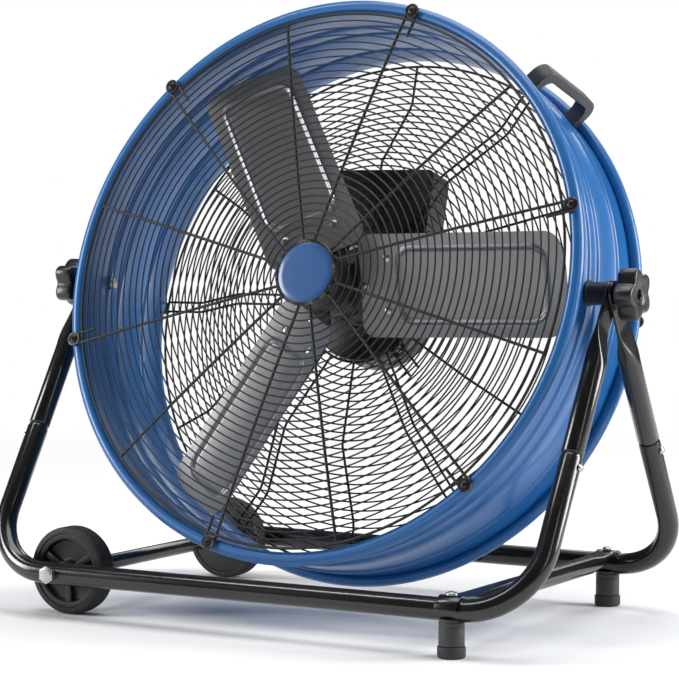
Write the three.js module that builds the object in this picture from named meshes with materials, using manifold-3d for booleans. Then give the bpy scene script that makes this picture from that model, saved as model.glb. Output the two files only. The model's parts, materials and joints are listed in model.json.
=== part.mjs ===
// Tilting drum fan on a wheeled tube stand. Millimetres, +Z up.
// The origin is on the floor under the tilt axis. +X runs along that axis, -Y is the way the air blows.
import * as THREE from "three";
import { mergeVertices } from "three/addons/utils/BufferGeometryUtils.js";
import Module from "manifold-3d";

const wasm = await Module();
wasm.setup();

// ---- Driving dimensions ----
const GAP = 0.3; // between pieces that touch
const RUN = 0.6; // between pieces that turn

// Drum. Depths inside the drum are measured along its axis, forward of the tilt axis.
const DRUM_R = 320; // inside the sheet
const SHEET = 2;
const FRONT_BEAD = 8;
const REAR_BEAD = 7;
const FRONT_BEAD_DEPTH = 48.8;
const REAR_BEAD_DEPTH = -123.5;
const RIB_DEPTHS = [4, -21, -78];
const RIB_WIDTH = 9;
const RIB_CREST = 4.5;
const RIB_HEIGHT = 3;
const DRUM_FACETS = 32;
const TILT = 15.76; // degrees, blowing upwards
const UNDER_DRUM = 60.7; // from the floor to the drum's lowest inside, upright
const PIVOT_HEIGHT = DRUM_R + UNDER_DRUM;

// Front guard
const FRONT_WIRE = 3.2;
const RING_WIRE = 2.2;
const SPOKE_WIRE = 3.5;
const FRONT_HUB_R = 42;
const HUB_PLATE = 10;
const FRONT_RIM_R = DRUM_R - 3;
const FRONT_RISE = 10.8;
const DOME_POWER = 2.2;
const FRONT_ROWS = 5;
const CLIP_COUNT = 6;
const CLIP_PHASE = 15;
const LOOP_OFFSET = 6.25; // from the screw to the middle of the looped wire
const LOOP_STEPS = 4;
const ARC_SAG = 3; // the most that a ring's straight side may fall inside its circle
const RETURN_LEG = 25;
const WASHER_R = 8.5;
const WASHER = 1.4;
const SCREW_R = 2.5;
const SCREW_HEAD_R = 4.6;
const SCREW_HEAD = 2.6;
const BADGE_R = 39.5;
const BADGE_RIM = 3.6;
const BADGE_DEPTH = 2.6;
const BADGE_FLOOR = 0.8;

// Rear guard, dished into the drum
const REAR_WIRE = 3;
const REAR_HUB_R = 74;
const REAR_RIM_R = DRUM_R - 8;
const ROD_OFFSET = 6; // half the spacing of the paired rods
const INNER_FLAT_R = 174;
const OUTER_FLAT_R = REAR_RIM_R - 50;
const INNER_FLAT_DEPTH = -67;
const OUTER_FLAT_DEPTH = -121.5;
const STUB_OFFSET = 7;
const STUB_RING_R = 117;

// Motor
const MOTOR_R = 71;
const MOTOR_SHELL = 3.5;
const MOTOR_SPLIT = -105;
const MOTOR_BACK = -141;
const MOTOR_DOME_R = 40;
const MOTOR_DOME_RISE = 13;
const MOTOR_CHAMFER = 3;
const LUG_COUNT = 4;
const LUG_PHASE = 45;
const LUG_R = 80;
const LUG_WIDTH = 18;
const LUG_THICK = 5;
const SHAFT_R = 6;
const BEARING_R = 13;
const BEARING_WIDTH = 8;
const BEARING_WALL = 3.2;
const STATOR_BORE_R = 36;
const STATOR_LENGTH = 34;

// Switch box behind the rear guard, above the motor
const BOX_WIDTH = 140;
const BOX_HEIGHT = 94;
const BOX_DEPTH = 40;
const BOX_CORNER = 8;
const BOX_WALL = 2;
const BOX_LIFT = 5; // from the guard's inner flat back to the box
const LID = 2;
const LID_LIP = 1.5;
const CAPACITOR_R = 16;
const CAPACITOR_LENGTH = 60;
const CAPACITOR_U = 44;
const SWITCH_SIZE = 32;
const SWITCH_DEPTH = 20;
const SWITCH_STEM_R = 3;
const SWITCH_STEM = 14;
const KNOB_R = 16;
const KNOB_DEPTH = 15;
const GLAND_R = 9;
const GLAND_LENGTH = 16;
const GLAND_BORE_R = 4.5;
const GLAND_U = -46;

// Fan
const BLADE_COUNT = 3;
const BLADE_PHASE = 1.5;
const BLADE_PITCH = 21.4;
const TIP_CLEARANCE = 20;
const BLADE_TIP_R = DRUM_R - TIP_CLEARANCE;
const BLADE_ROOT_R = 40;
const BLADE_CHORD = 120;
const BLADE_SHEET = 1.6;
const BLADE_CAMBER = 5;
const BLADE_CORNER = 18;
const BLADE_DEPTH = 10; // the rotor plane, forward of the tilt axis
const PRESSED_INNER_R = 91.5;
const PRESSED_OUTER_R = BLADE_TIP_R - 23;
const PRESSED_WIDTH = 85;
const PRESSED_BEAD = 8;
const PRESSED_HEIGHT = 2.2;
const HUB_R = 34;
const HUB_FRONT = 28;
const HUB_BACK = -20;
const SPIDER_R = 88;
const SPIDER_WIDTH = 82;
const SPIDER_SHEET = 3;

// Carrying handle across the drum
const HANDLE_ANGLE = 46.3;
const HANDLE_FRONT = 23;
const HANDLE_BACK = -113;
const HANDLE_HEIGHT = 36.5;
const HANDLE_BAR = 11;
const HANDLE_FOOT = 13;
const HANDLE_WIDTH = 20;
const HANDLE_CORNER = 18;
const HANDLE_SCREW_R = 3;
const HANDLE_SCREW_HEAD_R = 6;
const HANDLE_SCREW_DEPTH = 12;

// Stand
const RAIL_Y = 204;
const RAIL_Z = 51;
const LEG_REACH = 32; // from the drum's inside to the middle of the legs
const LEG_X = DRUM_R + LEG_REACH;
const TUBE_R = 12.5;
const TUBE_WALL = 1.8;
const TUBE_FACETS = 12;
const BEND_R = 80;
const SEAM = 186.5; // up the slope from the rail to the end of the base tube
const LEG_INSERT = 34;
const LEG_SWAGE = 3.5;
const TONGUE = 3.4;
const TONGUE_R = 15;
const FLATTEN_DROP = 95.7; // down the slope from the pivot to where the legs start to flatten
const TONGUE_DROP = 41.7; // and to where they are flat
const LEG_BOLT_DROP = 12.5;
const LEG_BOLT_R = 3;
const LEG_BOLT_HEAD_R = 4.5;
const LEG_BOLT_HEAD = 3.2;

// Pivots
const PIVOT_BOLT_R = 5;
const PIVOT_HEAD_R = 8;
const PIVOT_HEAD = 6;
const SPACER_R = 14.5;
const STAR_R = 30;
const STAR_DIP = 6;
const STAR_LOBES = 5;
const STAR_THICK = 22;
const STAR_STEM_R = 12;
const STAR_STEM = 8;
const PIVOT_BOLT_END = 14; // of the bolt inside the knob, short of its face

// Feet and brace
const BRACE_X = LEG_X - 92.5;
const BRACE_R = 11;
const SADDLE_LENGTH = 26;
const SADDLE = 3;
const BRACE_SCREW_R = 3;
const BRACE_SCREW_HEAD_R = 6.5;
const BRACE_SCREW_HEAD = 4;
const POST_R = 14;
const PAD_R = 15.3;
const PAD = 12.5;
const POST_SCREW_DEPTH = 14;

// Wheels
const WHEEL_X = 96 - LEG_X;
const WHEEL_R = 51;
const WHEEL_WIDTH = 26;
const WHEEL_FACE_Y = 182;
const TYRE = 7.5;
const RIM = 6;
const WEB = 9;
const BOSS_R = 12;
const WHEEL_SPOKES = 3;
const WHEEL_FACETS = 22;
const AXLE_R = 5;
const AXLE_HEAD_AF = 18;
const AXLE_HEAD = 7;
const SLEEVE_R = 9;
const SLEEVE_WALL = 3.4;

// ---- Finishes ----
function finish(color, roughness, metalness) {
  return new THREE.MeshStandardMaterial({ color, roughness, metalness });
}
const BLUE = finish(0x1d5fa6, 0.3, 0);
const BLACK_GLOSS = finish(0x16171a, 0.25, 0);
const BLACK_WIRE = finish(0x1b1c1e, 0.4, 0);
const GREY_BLADE = finish(0x8d9094, 0.35, 0.9);
const DARK_PLASTIC = finish(0x3a3c40, 0.55, 0);
const BLACK_PLASTIC = finish(0x1c1d1f, 0.6, 0);
const RUBBER = finish(0x1a1a1a, 0.85, 0);
const ZINC = finish(0xc4c6c8, 0.3, 1);
const MOTOR_BLACK = finish(0x232528, 0.5, 0);
const COPPER = finish(0x8a5a32, 0.5, 0.8);
const STEEL = finish(0x9b9da0, 0.35, 1);
const BADGE_BLUE = finish(0x2c548c, 0.3, 0);

// ---- Form helpers ----
const rad = THREE.MathUtils.degToRad;

function polar(r, angle) {
  return new THREE.Vector2(r * Math.cos(angle), r * Math.sin(angle));
}

// A point on a circle of radius r, set off sideways from the ray at an angle.
function beside(r, angle, offset) {
  return polar(r, angle + Math.asin(offset / r));
}

// The corner radius of a many-sided hole that clears a round rod.
function holeR(r, facets = 8) {
  return (r + GAP) / Math.cos(Math.PI / facets);
}

function bare(geometry) {
  const g = geometry.clone();
  g.deleteAttribute("normal");
  g.deleteAttribute("uv");
  return mergeVertices(g, 1e-4);
}

function toSolid(geometry) {
  const g = bare(geometry);
  const mesh = new wasm.Mesh({
    numProp: 3,
    vertProperties: g.attributes.position.array,
    triVerts: new Uint32Array(g.index.array),
  });
  return new wasm.Manifold(mesh);
}

function toGeometry(solid) {
  const mesh = solid.getMesh();
  const g = new THREE.BufferGeometry();
  const xyz = new Float32Array(mesh.numVert * 3);
  for (let i = 0; i < mesh.numVert; i++) {
    xyz.set(mesh.vertProperties.subarray(i * mesh.numProp, i * mesh.numProp + 3), i * 3);
  }
  g.setAttribute("position", new THREE.BufferAttribute(xyz, 3));
  g.setIndex(new THREE.BufferAttribute(mesh.triVerts, 1));
  g.computeVertexNormals();
  return g;
}

function join(first, ...others) {
  return toGeometry(others.reduce((sum, g) => sum.add(toSolid(g)), toSolid(first)));
}

function cut(first, ...tools) {
  return toGeometry(tools.reduce((rest, g) => rest.subtract(toSolid(g)), toSolid(first)));
}

function moved(geometry, x, y, z, rx = 0, ry = 0, rz = 0) {
  const turn = new THREE.Quaternion().setFromEuler(new THREE.Euler(rx, ry, rz));
  const place = new THREE.Matrix4().compose(new THREE.Vector3(x, y, z), turn, new THREE.Vector3(1, 1, 1));
  return geometry.clone().applyMatrix4(place);
}

// A turned form about Y. The profile is [radius, y] pairs, and a ring's profile closes on itself.
function turned(profile, facets, ring = false) {
  const points = profile.map(([r, y]) => new THREE.Vector2(r, y));
  if (THREE.ShapeUtils.area(points) < 0) points.reverse();
  if (ring) points.push(points[0].clone());
  return new THREE.LatheGeometry(points, facets);
}

// The same form inside the drum, where the profile's second number is the depth forward of the tilt axis.
function turnedInDrum(profile, facets, ring = false) {
  return turned(
    profile.map(([r, depth]) => [r, -depth]),
    facets,
    ring,
  );
}

// A rod along Y between two values.
function rodY(r, from, to, facets) {
  return moved(new THREE.CylinderGeometry(r, r, to - from, facets), 0, (from + to) / 2, 0);
}

// A rod along X between two values.
function rodX(r, from, to, facets) {
  const rod = new THREE.CylinderGeometry(r, r, to - from, facets);
  return moved(rod, (from + to) / 2, 0, 0, 0, 0, Math.PI / 2);
}

// A rod along Z between two values.
function rodZ(r, from, to, facets) {
  const rod = new THREE.CylinderGeometry(r, r, to - from, facets);
  return moved(rod, 0, 0, (from + to) / 2, Math.PI / 2);
}

// A flat shape extruded from one depth forward to another, facing along the drum's axis.
function slabInDrum(shape, back, front) {
  const slab = new THREE.ExtrudeGeometry(shape, { depth: front - back, bevelEnabled: false });
  return moved(slab, 0, -back, 0, Math.PI / 2);
}

function roundedRect(width, height, corner, steps = 3) {
  const points = [];
  for (let k = 0; k < 4; k++) {
    const sx = k === 0 || k === 3 ? 1 : -1;
    const sy = k < 2 ? 1 : -1;
    for (let i = 0; i <= steps; i++) {
      const a = (k + i / steps) * (Math.PI / 2);
      const x = sx * (width / 2 - corner) + corner * Math.cos(a);
      const y = sy * (height / 2 - corner) + corner * Math.sin(a);
      points.push(new THREE.Vector2(x, y));
    }
  }
  return points;
}

// A path that steps through chosen stations, so that straight runs take one step.
class StationPath extends THREE.Curve {
  constructor(stations) {
    super();
    this.stations = stations;
  }
  station(u) {
    return this.stations[Math.round(u * (this.stations.length - 1))];
  }
  getPoint(u) {
    return this.station(u).point.clone();
  }
  getPointAt(u) {
    return this.getPoint(u);
  }
  getTangentAt(u) {
    return this.station(u).tangent.clone();
  }
}

// A sheet over a grid of stations, mapped from a box's own grid. surface(i, j, side) gives a point: i counts
// across, j along, and side is 0 on the back and 1 on the front.
function sheet(columns, rows, surface) {
  const g = new THREE.BoxGeometry(1, 1, 1, columns, rows, 1);
  const p = g.attributes.position;
  for (let k = 0; k < p.count; k++) {
    const i = Math.round((0.5 - p.getX(k)) * columns);
    const j = Math.round((p.getY(k) + 0.5) * rows);
    const side = p.getZ(k) > 0 ? 1 : 0;
    const q = surface(i, j, side);
    p.setXYZ(k, q.x, q.y, q.z);
  }
  return g;
}

// A skin over closed sections, each the same number of points, with both ends capped.
function loft(sections) {
  const count = sections[0].length;
  const points = sections.flat();
  const faces = [];
  for (let s = 0; s + 1 < sections.length; s++) {
    for (let i = 0; i < count; i++) {
      const a = s * count + i;
      const b = s * count + ((i + 1) % count);
      faces.push(a, b, b + count, a, b + count, a + count);
    }
  }
  const last = (sections.length - 1) * count;
  for (let i = 1; i + 1 < count; i++) {
    faces.push(0, i + 1, i);
    faces.push(last, last + i, last + i + 1);
  }
  const g = new THREE.BufferGeometry().setFromPoints(points);
  g.setIndex(faces);
  return g;
}

function addPiece(parent, name, geometry, material) {
  const mesh = new THREE.Mesh(geometry, material);
  mesh.name = name;
  parent.add(mesh);
  return mesh;
}

// ---- Drum shell ----
const FRONT_BEAD_R = DRUM_R + FRONT_BEAD;
const REAR_BEAD_R = DRUM_R + REAR_BEAD;
const WALL_R = DRUM_R + SHEET;
const FRONT_FACE = FRONT_BEAD_DEPTH + FRONT_BEAD;
const REAR_FACE = REAR_BEAD_DEPTH - REAR_BEAD;

// The rolled edge from the inside of the sheet round to its outside. way is 1 at the front and -1 at the rear.
function beadArc(bead, depth, way, steps) {
  const r = DRUM_R + bead;
  const end = Math.PI * 2 - Math.acos((bead - SHEET) / bead);
  const arc = [];
  for (let i = 0; i <= steps; i++) {
    const a = (end * i) / steps;
    arc.push([r - bead * Math.cos(a), depth + way * bead * Math.sin(a)]);
  }
  return arc;
}

function outerWall(offset) {
  const wall = [];
  for (const depth of RIB_DEPTHS) {
    wall.push([WALL_R + offset, depth + RIB_WIDTH / 2]);
    wall.push([WALL_R + offset + RIB_HEIGHT, depth + RIB_CREST / 2]);
    wall.push([WALL_R + offset + RIB_HEIGHT, depth - RIB_CREST / 2]);
    wall.push([WALL_R + offset, depth - RIB_WIDTH / 2]);
  }
  return wall;
}

function radialHole(r, angle, depth) {
  const hole = rodX(r, DRUM_R - FRONT_BEAD, WALL_R + FRONT_BEAD, 8);
  return moved(hole, 0, -depth, 0, 0, -angle);
}

function drumShell() {
  const front = beadArc(FRONT_BEAD, FRONT_BEAD_DEPTH, 1, 8);
  const rear = beadArc(REAR_BEAD, REAR_BEAD_DEPTH, -1, 6).reverse();
  const shell = turnedInDrum([...front, ...outerWall(0), ...rear], DRUM_FACETS, true);
  return cut(
    shell,
    radialHole(holeR(PIVOT_BOLT_R), 0, 0),
    radialHole(holeR(PIVOT_BOLT_R), Math.PI, 0),
    radialHole(holeR(HANDLE_SCREW_R), rad(HANDLE_ANGLE), HANDLE_FRONT - HANDLE_FOOT / 2),
    radialHole(holeR(HANDLE_SCREW_R), rad(HANDLE_ANGLE), HANDLE_BACK + HANDLE_FOOT / 2),
  );
}

// What sits on the drum is cut to the outside of its wall and ribs.
function seatOnDrum(geometry) {
  const wall = outerWall(GAP);
  const front = [0, FRONT_BEAD_DEPTH];
  const back = [0, REAR_BEAD_DEPTH];
  const ends = [front, [WALL_R + GAP, FRONT_BEAD_DEPTH], ...wall, [WALL_R + GAP, REAR_BEAD_DEPTH], back];
  return cut(geometry, turnedInDrum(ends, DRUM_FACETS));
}

// ---- Guards ----
// A net of four-cornered cells that share their edges. It gets its thickness last, and each corner is then set
// off along the drum's axis by the dish.
class Net {
  constructor() {
    this.index = new Map();
    this.corners = [];
    this.cells = [];
  }
  corner(p) {
    const key = `${Math.round(p.x * 1e3)},${Math.round(p.y * 1e3)}`;
    if (!this.index.has(key)) {
      this.index.set(key, this.corners.length);
      this.corners.push(p);
    }
    return this.index.get(key);
  }
  add(a, b, c, d) {
    this.cells.push([a, b, c, d].map((p) => this.corner(p)));
  }
  // A patch of a straight wire between two radii, from its clockwise side to the other.
  addWire(inner, outer, { angle, offset, width }) {
    const low = offset - width / 2;
    const high = offset + width / 2;
    this.add(
      beside(inner, angle, low),
      beside(outer, angle, low),
      beside(outer, angle, high),
      beside(inner, angle, high),
    );
  }
  // A ring with the knots where the wires cross it. A wide arc between two wires takes a corner half-way.
  addRing(inner, outer, wires) {
    wires.forEach((from, k) => {
      this.addWire(inner, outer, from);
      const next = wires[(k + 1) % wires.length];
      const turn = k + 1 === wires.length ? Math.PI * 2 : 0;
      const span = next.angle + turn - from.angle;
      const start = (r) => beside(r, from.angle, from.offset + from.width / 2);
      const end = (r) => beside(r, next.angle, next.offset - next.width / 2);
      const half = (r) => polar(r, from.angle + span / 2);
      if (outer * (1 - Math.cos(span / 2)) > ARC_SAG) {
        this.add(start(inner), start(outer), half(outer), half(inner));
        this.add(half(inner), half(outer), end(outer), end(inner));
      } else {
        this.add(start(inner), start(outer), end(outer), end(inner));
      }
    });
  }
  // Two legs and a half turn round a screw, from the rim outwards.
  addLoop(rim, screwR, angle, reach, width) {
    const low = reach - width / 2;
    const high = reach + width / 2;
    const round = (r, a) =>
      polar(r, a).add(new THREE.Vector2(screwR, 0)).rotateAround(new THREE.Vector2(), angle);
    for (const offset of [-reach, reach]) this.addWire(rim, DRUM_R, { angle, offset, width });
    const right = [beside(DRUM_R, angle, -high), round(high, -Math.PI / 2)];
    this.add(...right, round(low, -Math.PI / 2), beside(DRUM_R, angle, -low));
    const left = [beside(DRUM_R, angle, low), round(low, Math.PI / 2)];
    this.add(...left, round(high, Math.PI / 2), beside(DRUM_R, angle, high));
    for (let i = 0; i < LOOP_STEPS; i++) {
      const a = -Math.PI / 2 + (i * Math.PI) / LOOP_STEPS;
      const b = a + Math.PI / LOOP_STEPS;
      this.add(round(low, a), round(high, a), round(high, b), round(low, b));
    }
  }
  thicken(wire, dish) {
    const count = this.corners.length;
    const level = (side) =>
      this.corners.map((p) => new THREE.Vector3(p.x, -dish(p.length()) - (side * wire) / 2, p.y));
    const edges = new Set();
    const sides = this.cells.flatMap((cell) => cell.map((a, i) => [a, cell[(i + 1) % 4]]));
    sides.forEach(([a, b]) => edges.add(`${a},${b}`));
    const faces = [];
    for (const [a, b, c, d] of this.cells) {
      faces.push(a, b, c, a, c, d);
      faces.push(a + count, c + count, b + count, a + count, d + count, c + count);
    }
    for (const [a, b] of sides) {
      if (!edges.has(`${b},${a}`)) faces.push(a + count, b + count, b, a + count, b, a);
    }
    const g = new THREE.BufferGeometry().setFromPoints([...level(1), ...level(-1)]);
    g.setIndex(faces);
    return g;
  }
}

function wiresAround(count, phase, offset, width) {
  return Array.from({ length: count }, (_, k) => ({
    angle: rad(phase) + (k * Math.PI * 2) / count,
    offset,
    width,
  }));
}

function inOrder(...lists) {
  return lists.flat().sort((a, b) => a.angle - b.angle || a.offset - b.offset);
}

// Rings given as { inner, outer, wires }, joined by straight wires from each ring to the next.
function ringNet(rings, rows) {
  const net = new Net();
  rings.forEach((ring) => net.addRing(ring.inner, ring.outer, ring.wires));
  rows.forEach((wires, i) => {
    for (const wire of wires) net.addWire(rings[i].outer, rings[i + 1].inner, wire);
  });
  return net;
}

function ringAt(r, width, wires) {
  return { inner: r - width / 2, outer: r + width / 2, wires };
}

const FRONT_GUARD_DEPTH = FRONT_FACE + GAP + FRONT_WIRE / 2;
const FRONT_HUB_DEPTH = FRONT_GUARD_DEPTH + FRONT_RISE;

function frontDish(r) {
  const reach = FRONT_RIM_R - SPOKE_WIRE / 2 - FRONT_HUB_R;
  const share = THREE.MathUtils.clamp((r - FRONT_HUB_R) / reach, 0, 1);
  return FRONT_GUARD_DEPTH + FRONT_RISE * (1 - share ** DOME_POWER);
}

function frontGrille() {
  const plainPhase = CLIP_PHASE + 180 / CLIP_COUNT;
  const looped = wiresAround(CLIP_COUNT, CLIP_PHASE, LOOP_OFFSET, SPOKE_WIRE);
  const plain = wiresAround(CLIP_COUNT, plainPhase, 0, SPOKE_WIRE);
  const returned = wiresAround(CLIP_COUNT, CLIP_PHASE, -LOOP_OFFSET, SPOKE_WIRE);
  const spokes = inOrder(looped, plain);
  const rimWires = inOrder(looped, plain, returned);
  const returnR = FRONT_RIM_R - RETURN_LEG;
  const pitch = (returnR - FRONT_HUB_R) / FRONT_ROWS;
  const rings = [{ inner: FRONT_HUB_R - HUB_PLATE, outer: FRONT_HUB_R, wires: spokes }];
  for (let i = 1; i < FRONT_ROWS; i++) rings.push(ringAt(FRONT_HUB_R + i * pitch, RING_WIRE, spokes));
  rings.push(ringAt(returnR, RING_WIRE, rimWires), ringAt(FRONT_RIM_R, SPOKE_WIRE, rimWires));
  const rows = rings.slice(1).map((_, i) => (i < FRONT_ROWS ? spokes : rimWires));
  const net = ringNet(rings, rows);
  for (const { angle } of looped) {
    net.addLoop(FRONT_RIM_R + SPOKE_WIRE / 2, FRONT_BEAD_R, angle, LOOP_OFFSET, SPOKE_WIRE);
  }
  return net.thicken(FRONT_WIRE, frontDish);
}

const REAR_GUARD_DEPTH = REAR_FACE - GAP - REAR_WIRE / 2;

function rearDish(r) {
  if (r <= INNER_FLAT_R) return INNER_FLAT_DEPTH;
  if (r <= OUTER_FLAT_R) {
    const share = (r - INNER_FLAT_R) / (OUTER_FLAT_R - INNER_FLAT_R);
    return INNER_FLAT_DEPTH + share * (OUTER_FLAT_DEPTH - INNER_FLAT_DEPTH);
  }
  const rim = REAR_RIM_R + REAR_WIRE / 2;
  const share = THREE.MathUtils.clamp((r - rim) / (DRUM_R - rim), 0, 1);
  return OUTER_FLAT_DEPTH + share * (REAR_GUARD_DEPTH - OUTER_FLAT_DEPTH);
}

function rearGrille() {
  const pairs = [-ROD_OFFSET, ROD_OFFSET].map((o) => wiresAround(CLIP_COUNT, 0, o, REAR_WIRE));
  const singles = wiresAround(CLIP_COUNT, 180 / CLIP_COUNT, 0, REAR_WIRE);
  const stubs = [-STUB_OFFSET, STUB_OFFSET].map((o) => wiresAround(LUG_COUNT, LUG_PHASE, o, REAR_WIRE));
  const rods = inOrder(...pairs, singles);
  const hubWires = inOrder(rods, ...stubs);
  const cone = (INNER_FLAT_R + OUTER_FLAT_R) / 2;
  const rings = [
    ringAt(REAR_HUB_R, REAR_WIRE, hubWires),
    ringAt(STUB_RING_R, RING_WIRE, hubWires),
    ringAt(INNER_FLAT_R, RING_WIRE, rods),
    ringAt(cone, RING_WIRE, rods),
    ringAt(OUTER_FLAT_R, RING_WIRE, rods),
    ringAt(REAR_RIM_R, REAR_WIRE, rods),
  ];
  const rows = [hubWires, rods, rods, rods, rods];
  const net = ringNet(rings, rows);
  for (const { angle } of pairs[0]) {
    net.addLoop(REAR_RIM_R + REAR_WIRE / 2, REAR_BEAD_R, angle, ROD_OFFSET, REAR_WIRE);
  }
  return net.thicken(REAR_WIRE, rearDish);
}

function clip() {
  const seat = FRONT_FACE + GAP;
  const wireTop = seat + FRONT_WIRE + GAP;
  const head = wireTop + WASHER;
  return turnedInDrum(
    [
      [0, seat],
      [SCREW_R, seat],
      [SCREW_R, wireTop],
      [WASHER_R, wireTop],
      [WASHER_R, head],
      [SCREW_HEAD_R, head],
      [SCREW_HEAD_R * 0.6, head + SCREW_HEAD],
      [0, head + SCREW_HEAD],
    ],
    8,
  );
}

// ---- Badge ----
const BADGE_BACK = FRONT_HUB_DEPTH + FRONT_WIRE / 2 + GAP;

function badgeRing() {
  return turnedInDrum(
    [
      [0, BADGE_BACK],
      [BADGE_R, BADGE_BACK],
      [BADGE_R, BADGE_BACK + BADGE_DEPTH - 0.8],
      [BADGE_R - 1, BADGE_BACK + BADGE_DEPTH],
      [BADGE_R - BADGE_RIM, BADGE_BACK + BADGE_DEPTH],
      [BADGE_R - BADGE_RIM, BADGE_BACK + BADGE_FLOOR],
      [0, BADGE_BACK + BADGE_FLOOR],
    ],
    24,
  );
}

function badgeDisc() {
  const back = BADGE_BACK + BADGE_FLOOR + GAP;
  const front = BADGE_BACK + BADGE_DEPTH - GAP;
  const r = BADGE_R - BADGE_RIM - GAP;
  return turnedInDrum(
    [
      [0, back],
      [r, back],
      [r, front],
      [0, front],
    ],
    24,
  );
}

// ---- Motor ----
const MOTOR_FRONT = INNER_FLAT_DEPTH - REAR_WIRE / 2 - GAP;
const FRONT_BEARING = MOTOR_FRONT - MOTOR_SHELL - GAP;
const REAR_BEARING = MOTOR_BACK + MOTOR_SHELL + GAP + BEARING_WIDTH;
const STATOR_FRONT = MOTOR_SPLIT + STATOR_LENGTH / 2;
const MOTOR_BORE_R = MOTOR_R - MOTOR_SHELL;

function motorFrontShell() {
  const boss = FRONT_BEARING - BEARING_WIDTH;
  const shell = turnedInDrum(
    [
      [SHAFT_R + RUN, MOTOR_FRONT],
      [MOTOR_R - MOTOR_CHAMFER, MOTOR_FRONT],
      [MOTOR_R, MOTOR_FRONT - MOTOR_CHAMFER],
      [MOTOR_R, MOTOR_SPLIT + GAP / 2],
      [MOTOR_BORE_R, MOTOR_SPLIT + GAP / 2],
      [MOTOR_BORE_R, MOTOR_FRONT - MOTOR_SHELL],
      [BEARING_R + BEARING_WALL, MOTOR_FRONT - MOTOR_SHELL],
      [BEARING_R + BEARING_WALL, boss],
      [BEARING_R + GAP, boss],
      [BEARING_R + GAP, MOTOR_FRONT - MOTOR_SHELL],
      [SHAFT_R + RUN, MOTOR_FRONT - MOTOR_SHELL],
    ],
    20,
    true,
  );
  const lugs = wiresAround(LUG_COUNT, LUG_PHASE, 0, LUG_WIDTH).map(({ angle }) => {
    const reach = LUG_R - MOTOR_BORE_R;
    const lug = new THREE.BoxGeometry(reach, LUG_THICK, LUG_WIDTH);
    const end = rodY(LUG_WIDTH / 2, -LUG_THICK / 2, LUG_THICK / 2, 8);
    const whole = join(moved(lug, -reach / 2, 0, 0), end);
    const at = polar(LUG_R, angle);
    return moved(whole, at.x, -MOTOR_FRONT + LUG_THICK / 2, at.y, 0, -angle);
  });
  return join(shell, ...lugs);
}

function motorRearShell() {
  const boss = REAR_BEARING;
  const inside = MOTOR_BACK + MOTOR_SHELL;
  return turnedInDrum(
    [
      [0, MOTOR_BACK],
      [MOTOR_DOME_R, MOTOR_BACK],
      [(MOTOR_DOME_R + 2 * MOTOR_R) / 3, MOTOR_BACK + MOTOR_DOME_RISE / 3],
      [MOTOR_R, MOTOR_BACK + MOTOR_DOME_RISE],
      [MOTOR_R, MOTOR_SPLIT - GAP / 2],
      [MOTOR_BORE_R, MOTOR_SPLIT - GAP / 2],
      [MOTOR_BORE_R, inside + MOTOR_DOME_RISE],
      [MOTOR_DOME_R, inside],
      [BEARING_R + BEARING_WALL, inside],
      [BEARING_R + BEARING_WALL, boss],
      [BEARING_R + GAP, boss],
      [BEARING_R + GAP, inside],
      [0, inside],
    ],
    20,
  );
}

function ringInDrum(inner, outer, back, front, facets) {
  return turnedInDrum(
    [
      [inner, back],
      [outer, back],
      [outer, front],
      [inner, front],
    ],
    facets,
    true,
  );
}

function stator() {
  return ringInDrum(STATOR_BORE_R, MOTOR_BORE_R - GAP, STATOR_FRONT - STATOR_LENGTH, STATOR_FRONT, 20);
}

function bearing(front) {
  return ringInDrum(SHAFT_R + GAP, BEARING_R, front - BEARING_WIDTH, front, 12);
}

function rotor() {
  const core = STATOR_BORE_R - RUN;
  const shaftBack = MOTOR_BACK + MOTOR_SHELL + RUN;
  const shaftFront = HUB_FRONT - MOTOR_SHELL - GAP;
  return turnedInDrum(
    [
      [0, shaftBack],
      [SHAFT_R, shaftBack],
      [SHAFT_R, STATOR_FRONT - STATOR_LENGTH],
      [core, STATOR_FRONT - STATOR_LENGTH],
      [core, STATOR_FRONT],
      [SHAFT_R, STATOR_FRONT],
      [SHAFT_R, shaftFront],
      [0, shaftFront],
    ],
    16,
  );
}

// ---- Switch box ----
const BOX_BOTTOM = MOTOR_R + GAP;
const BOX_V = BOX_BOTTOM + BOX_HEIGHT / 2;
const BOX_FRONT = INNER_FLAT_DEPTH - BOX_LIFT;
const BOX_BACK = BOX_FRONT - BOX_DEPTH;
const LID_BACK = BOX_BACK - GAP - LID;
const GLAND_V = BOX_BOTTOM + BOX_HEIGHT / 4;

function controlBox() {
  const outside = new THREE.Shape(roundedRect(BOX_WIDTH, BOX_HEIGHT, BOX_CORNER));
  const inside = roundedRect(BOX_WIDTH - 2 * BOX_WALL, BOX_HEIGHT - 2 * BOX_WALL, BOX_CORNER - BOX_WALL);
  const block = slabInDrum(outside, BOX_BACK, BOX_FRONT);
  const hollow = slabInDrum(new THREE.Shape(inside), BOX_BACK - LID, BOX_FRONT - BOX_WALL);
  return moved(cut(block, hollow), 0, 0, BOX_V);
}

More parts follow.
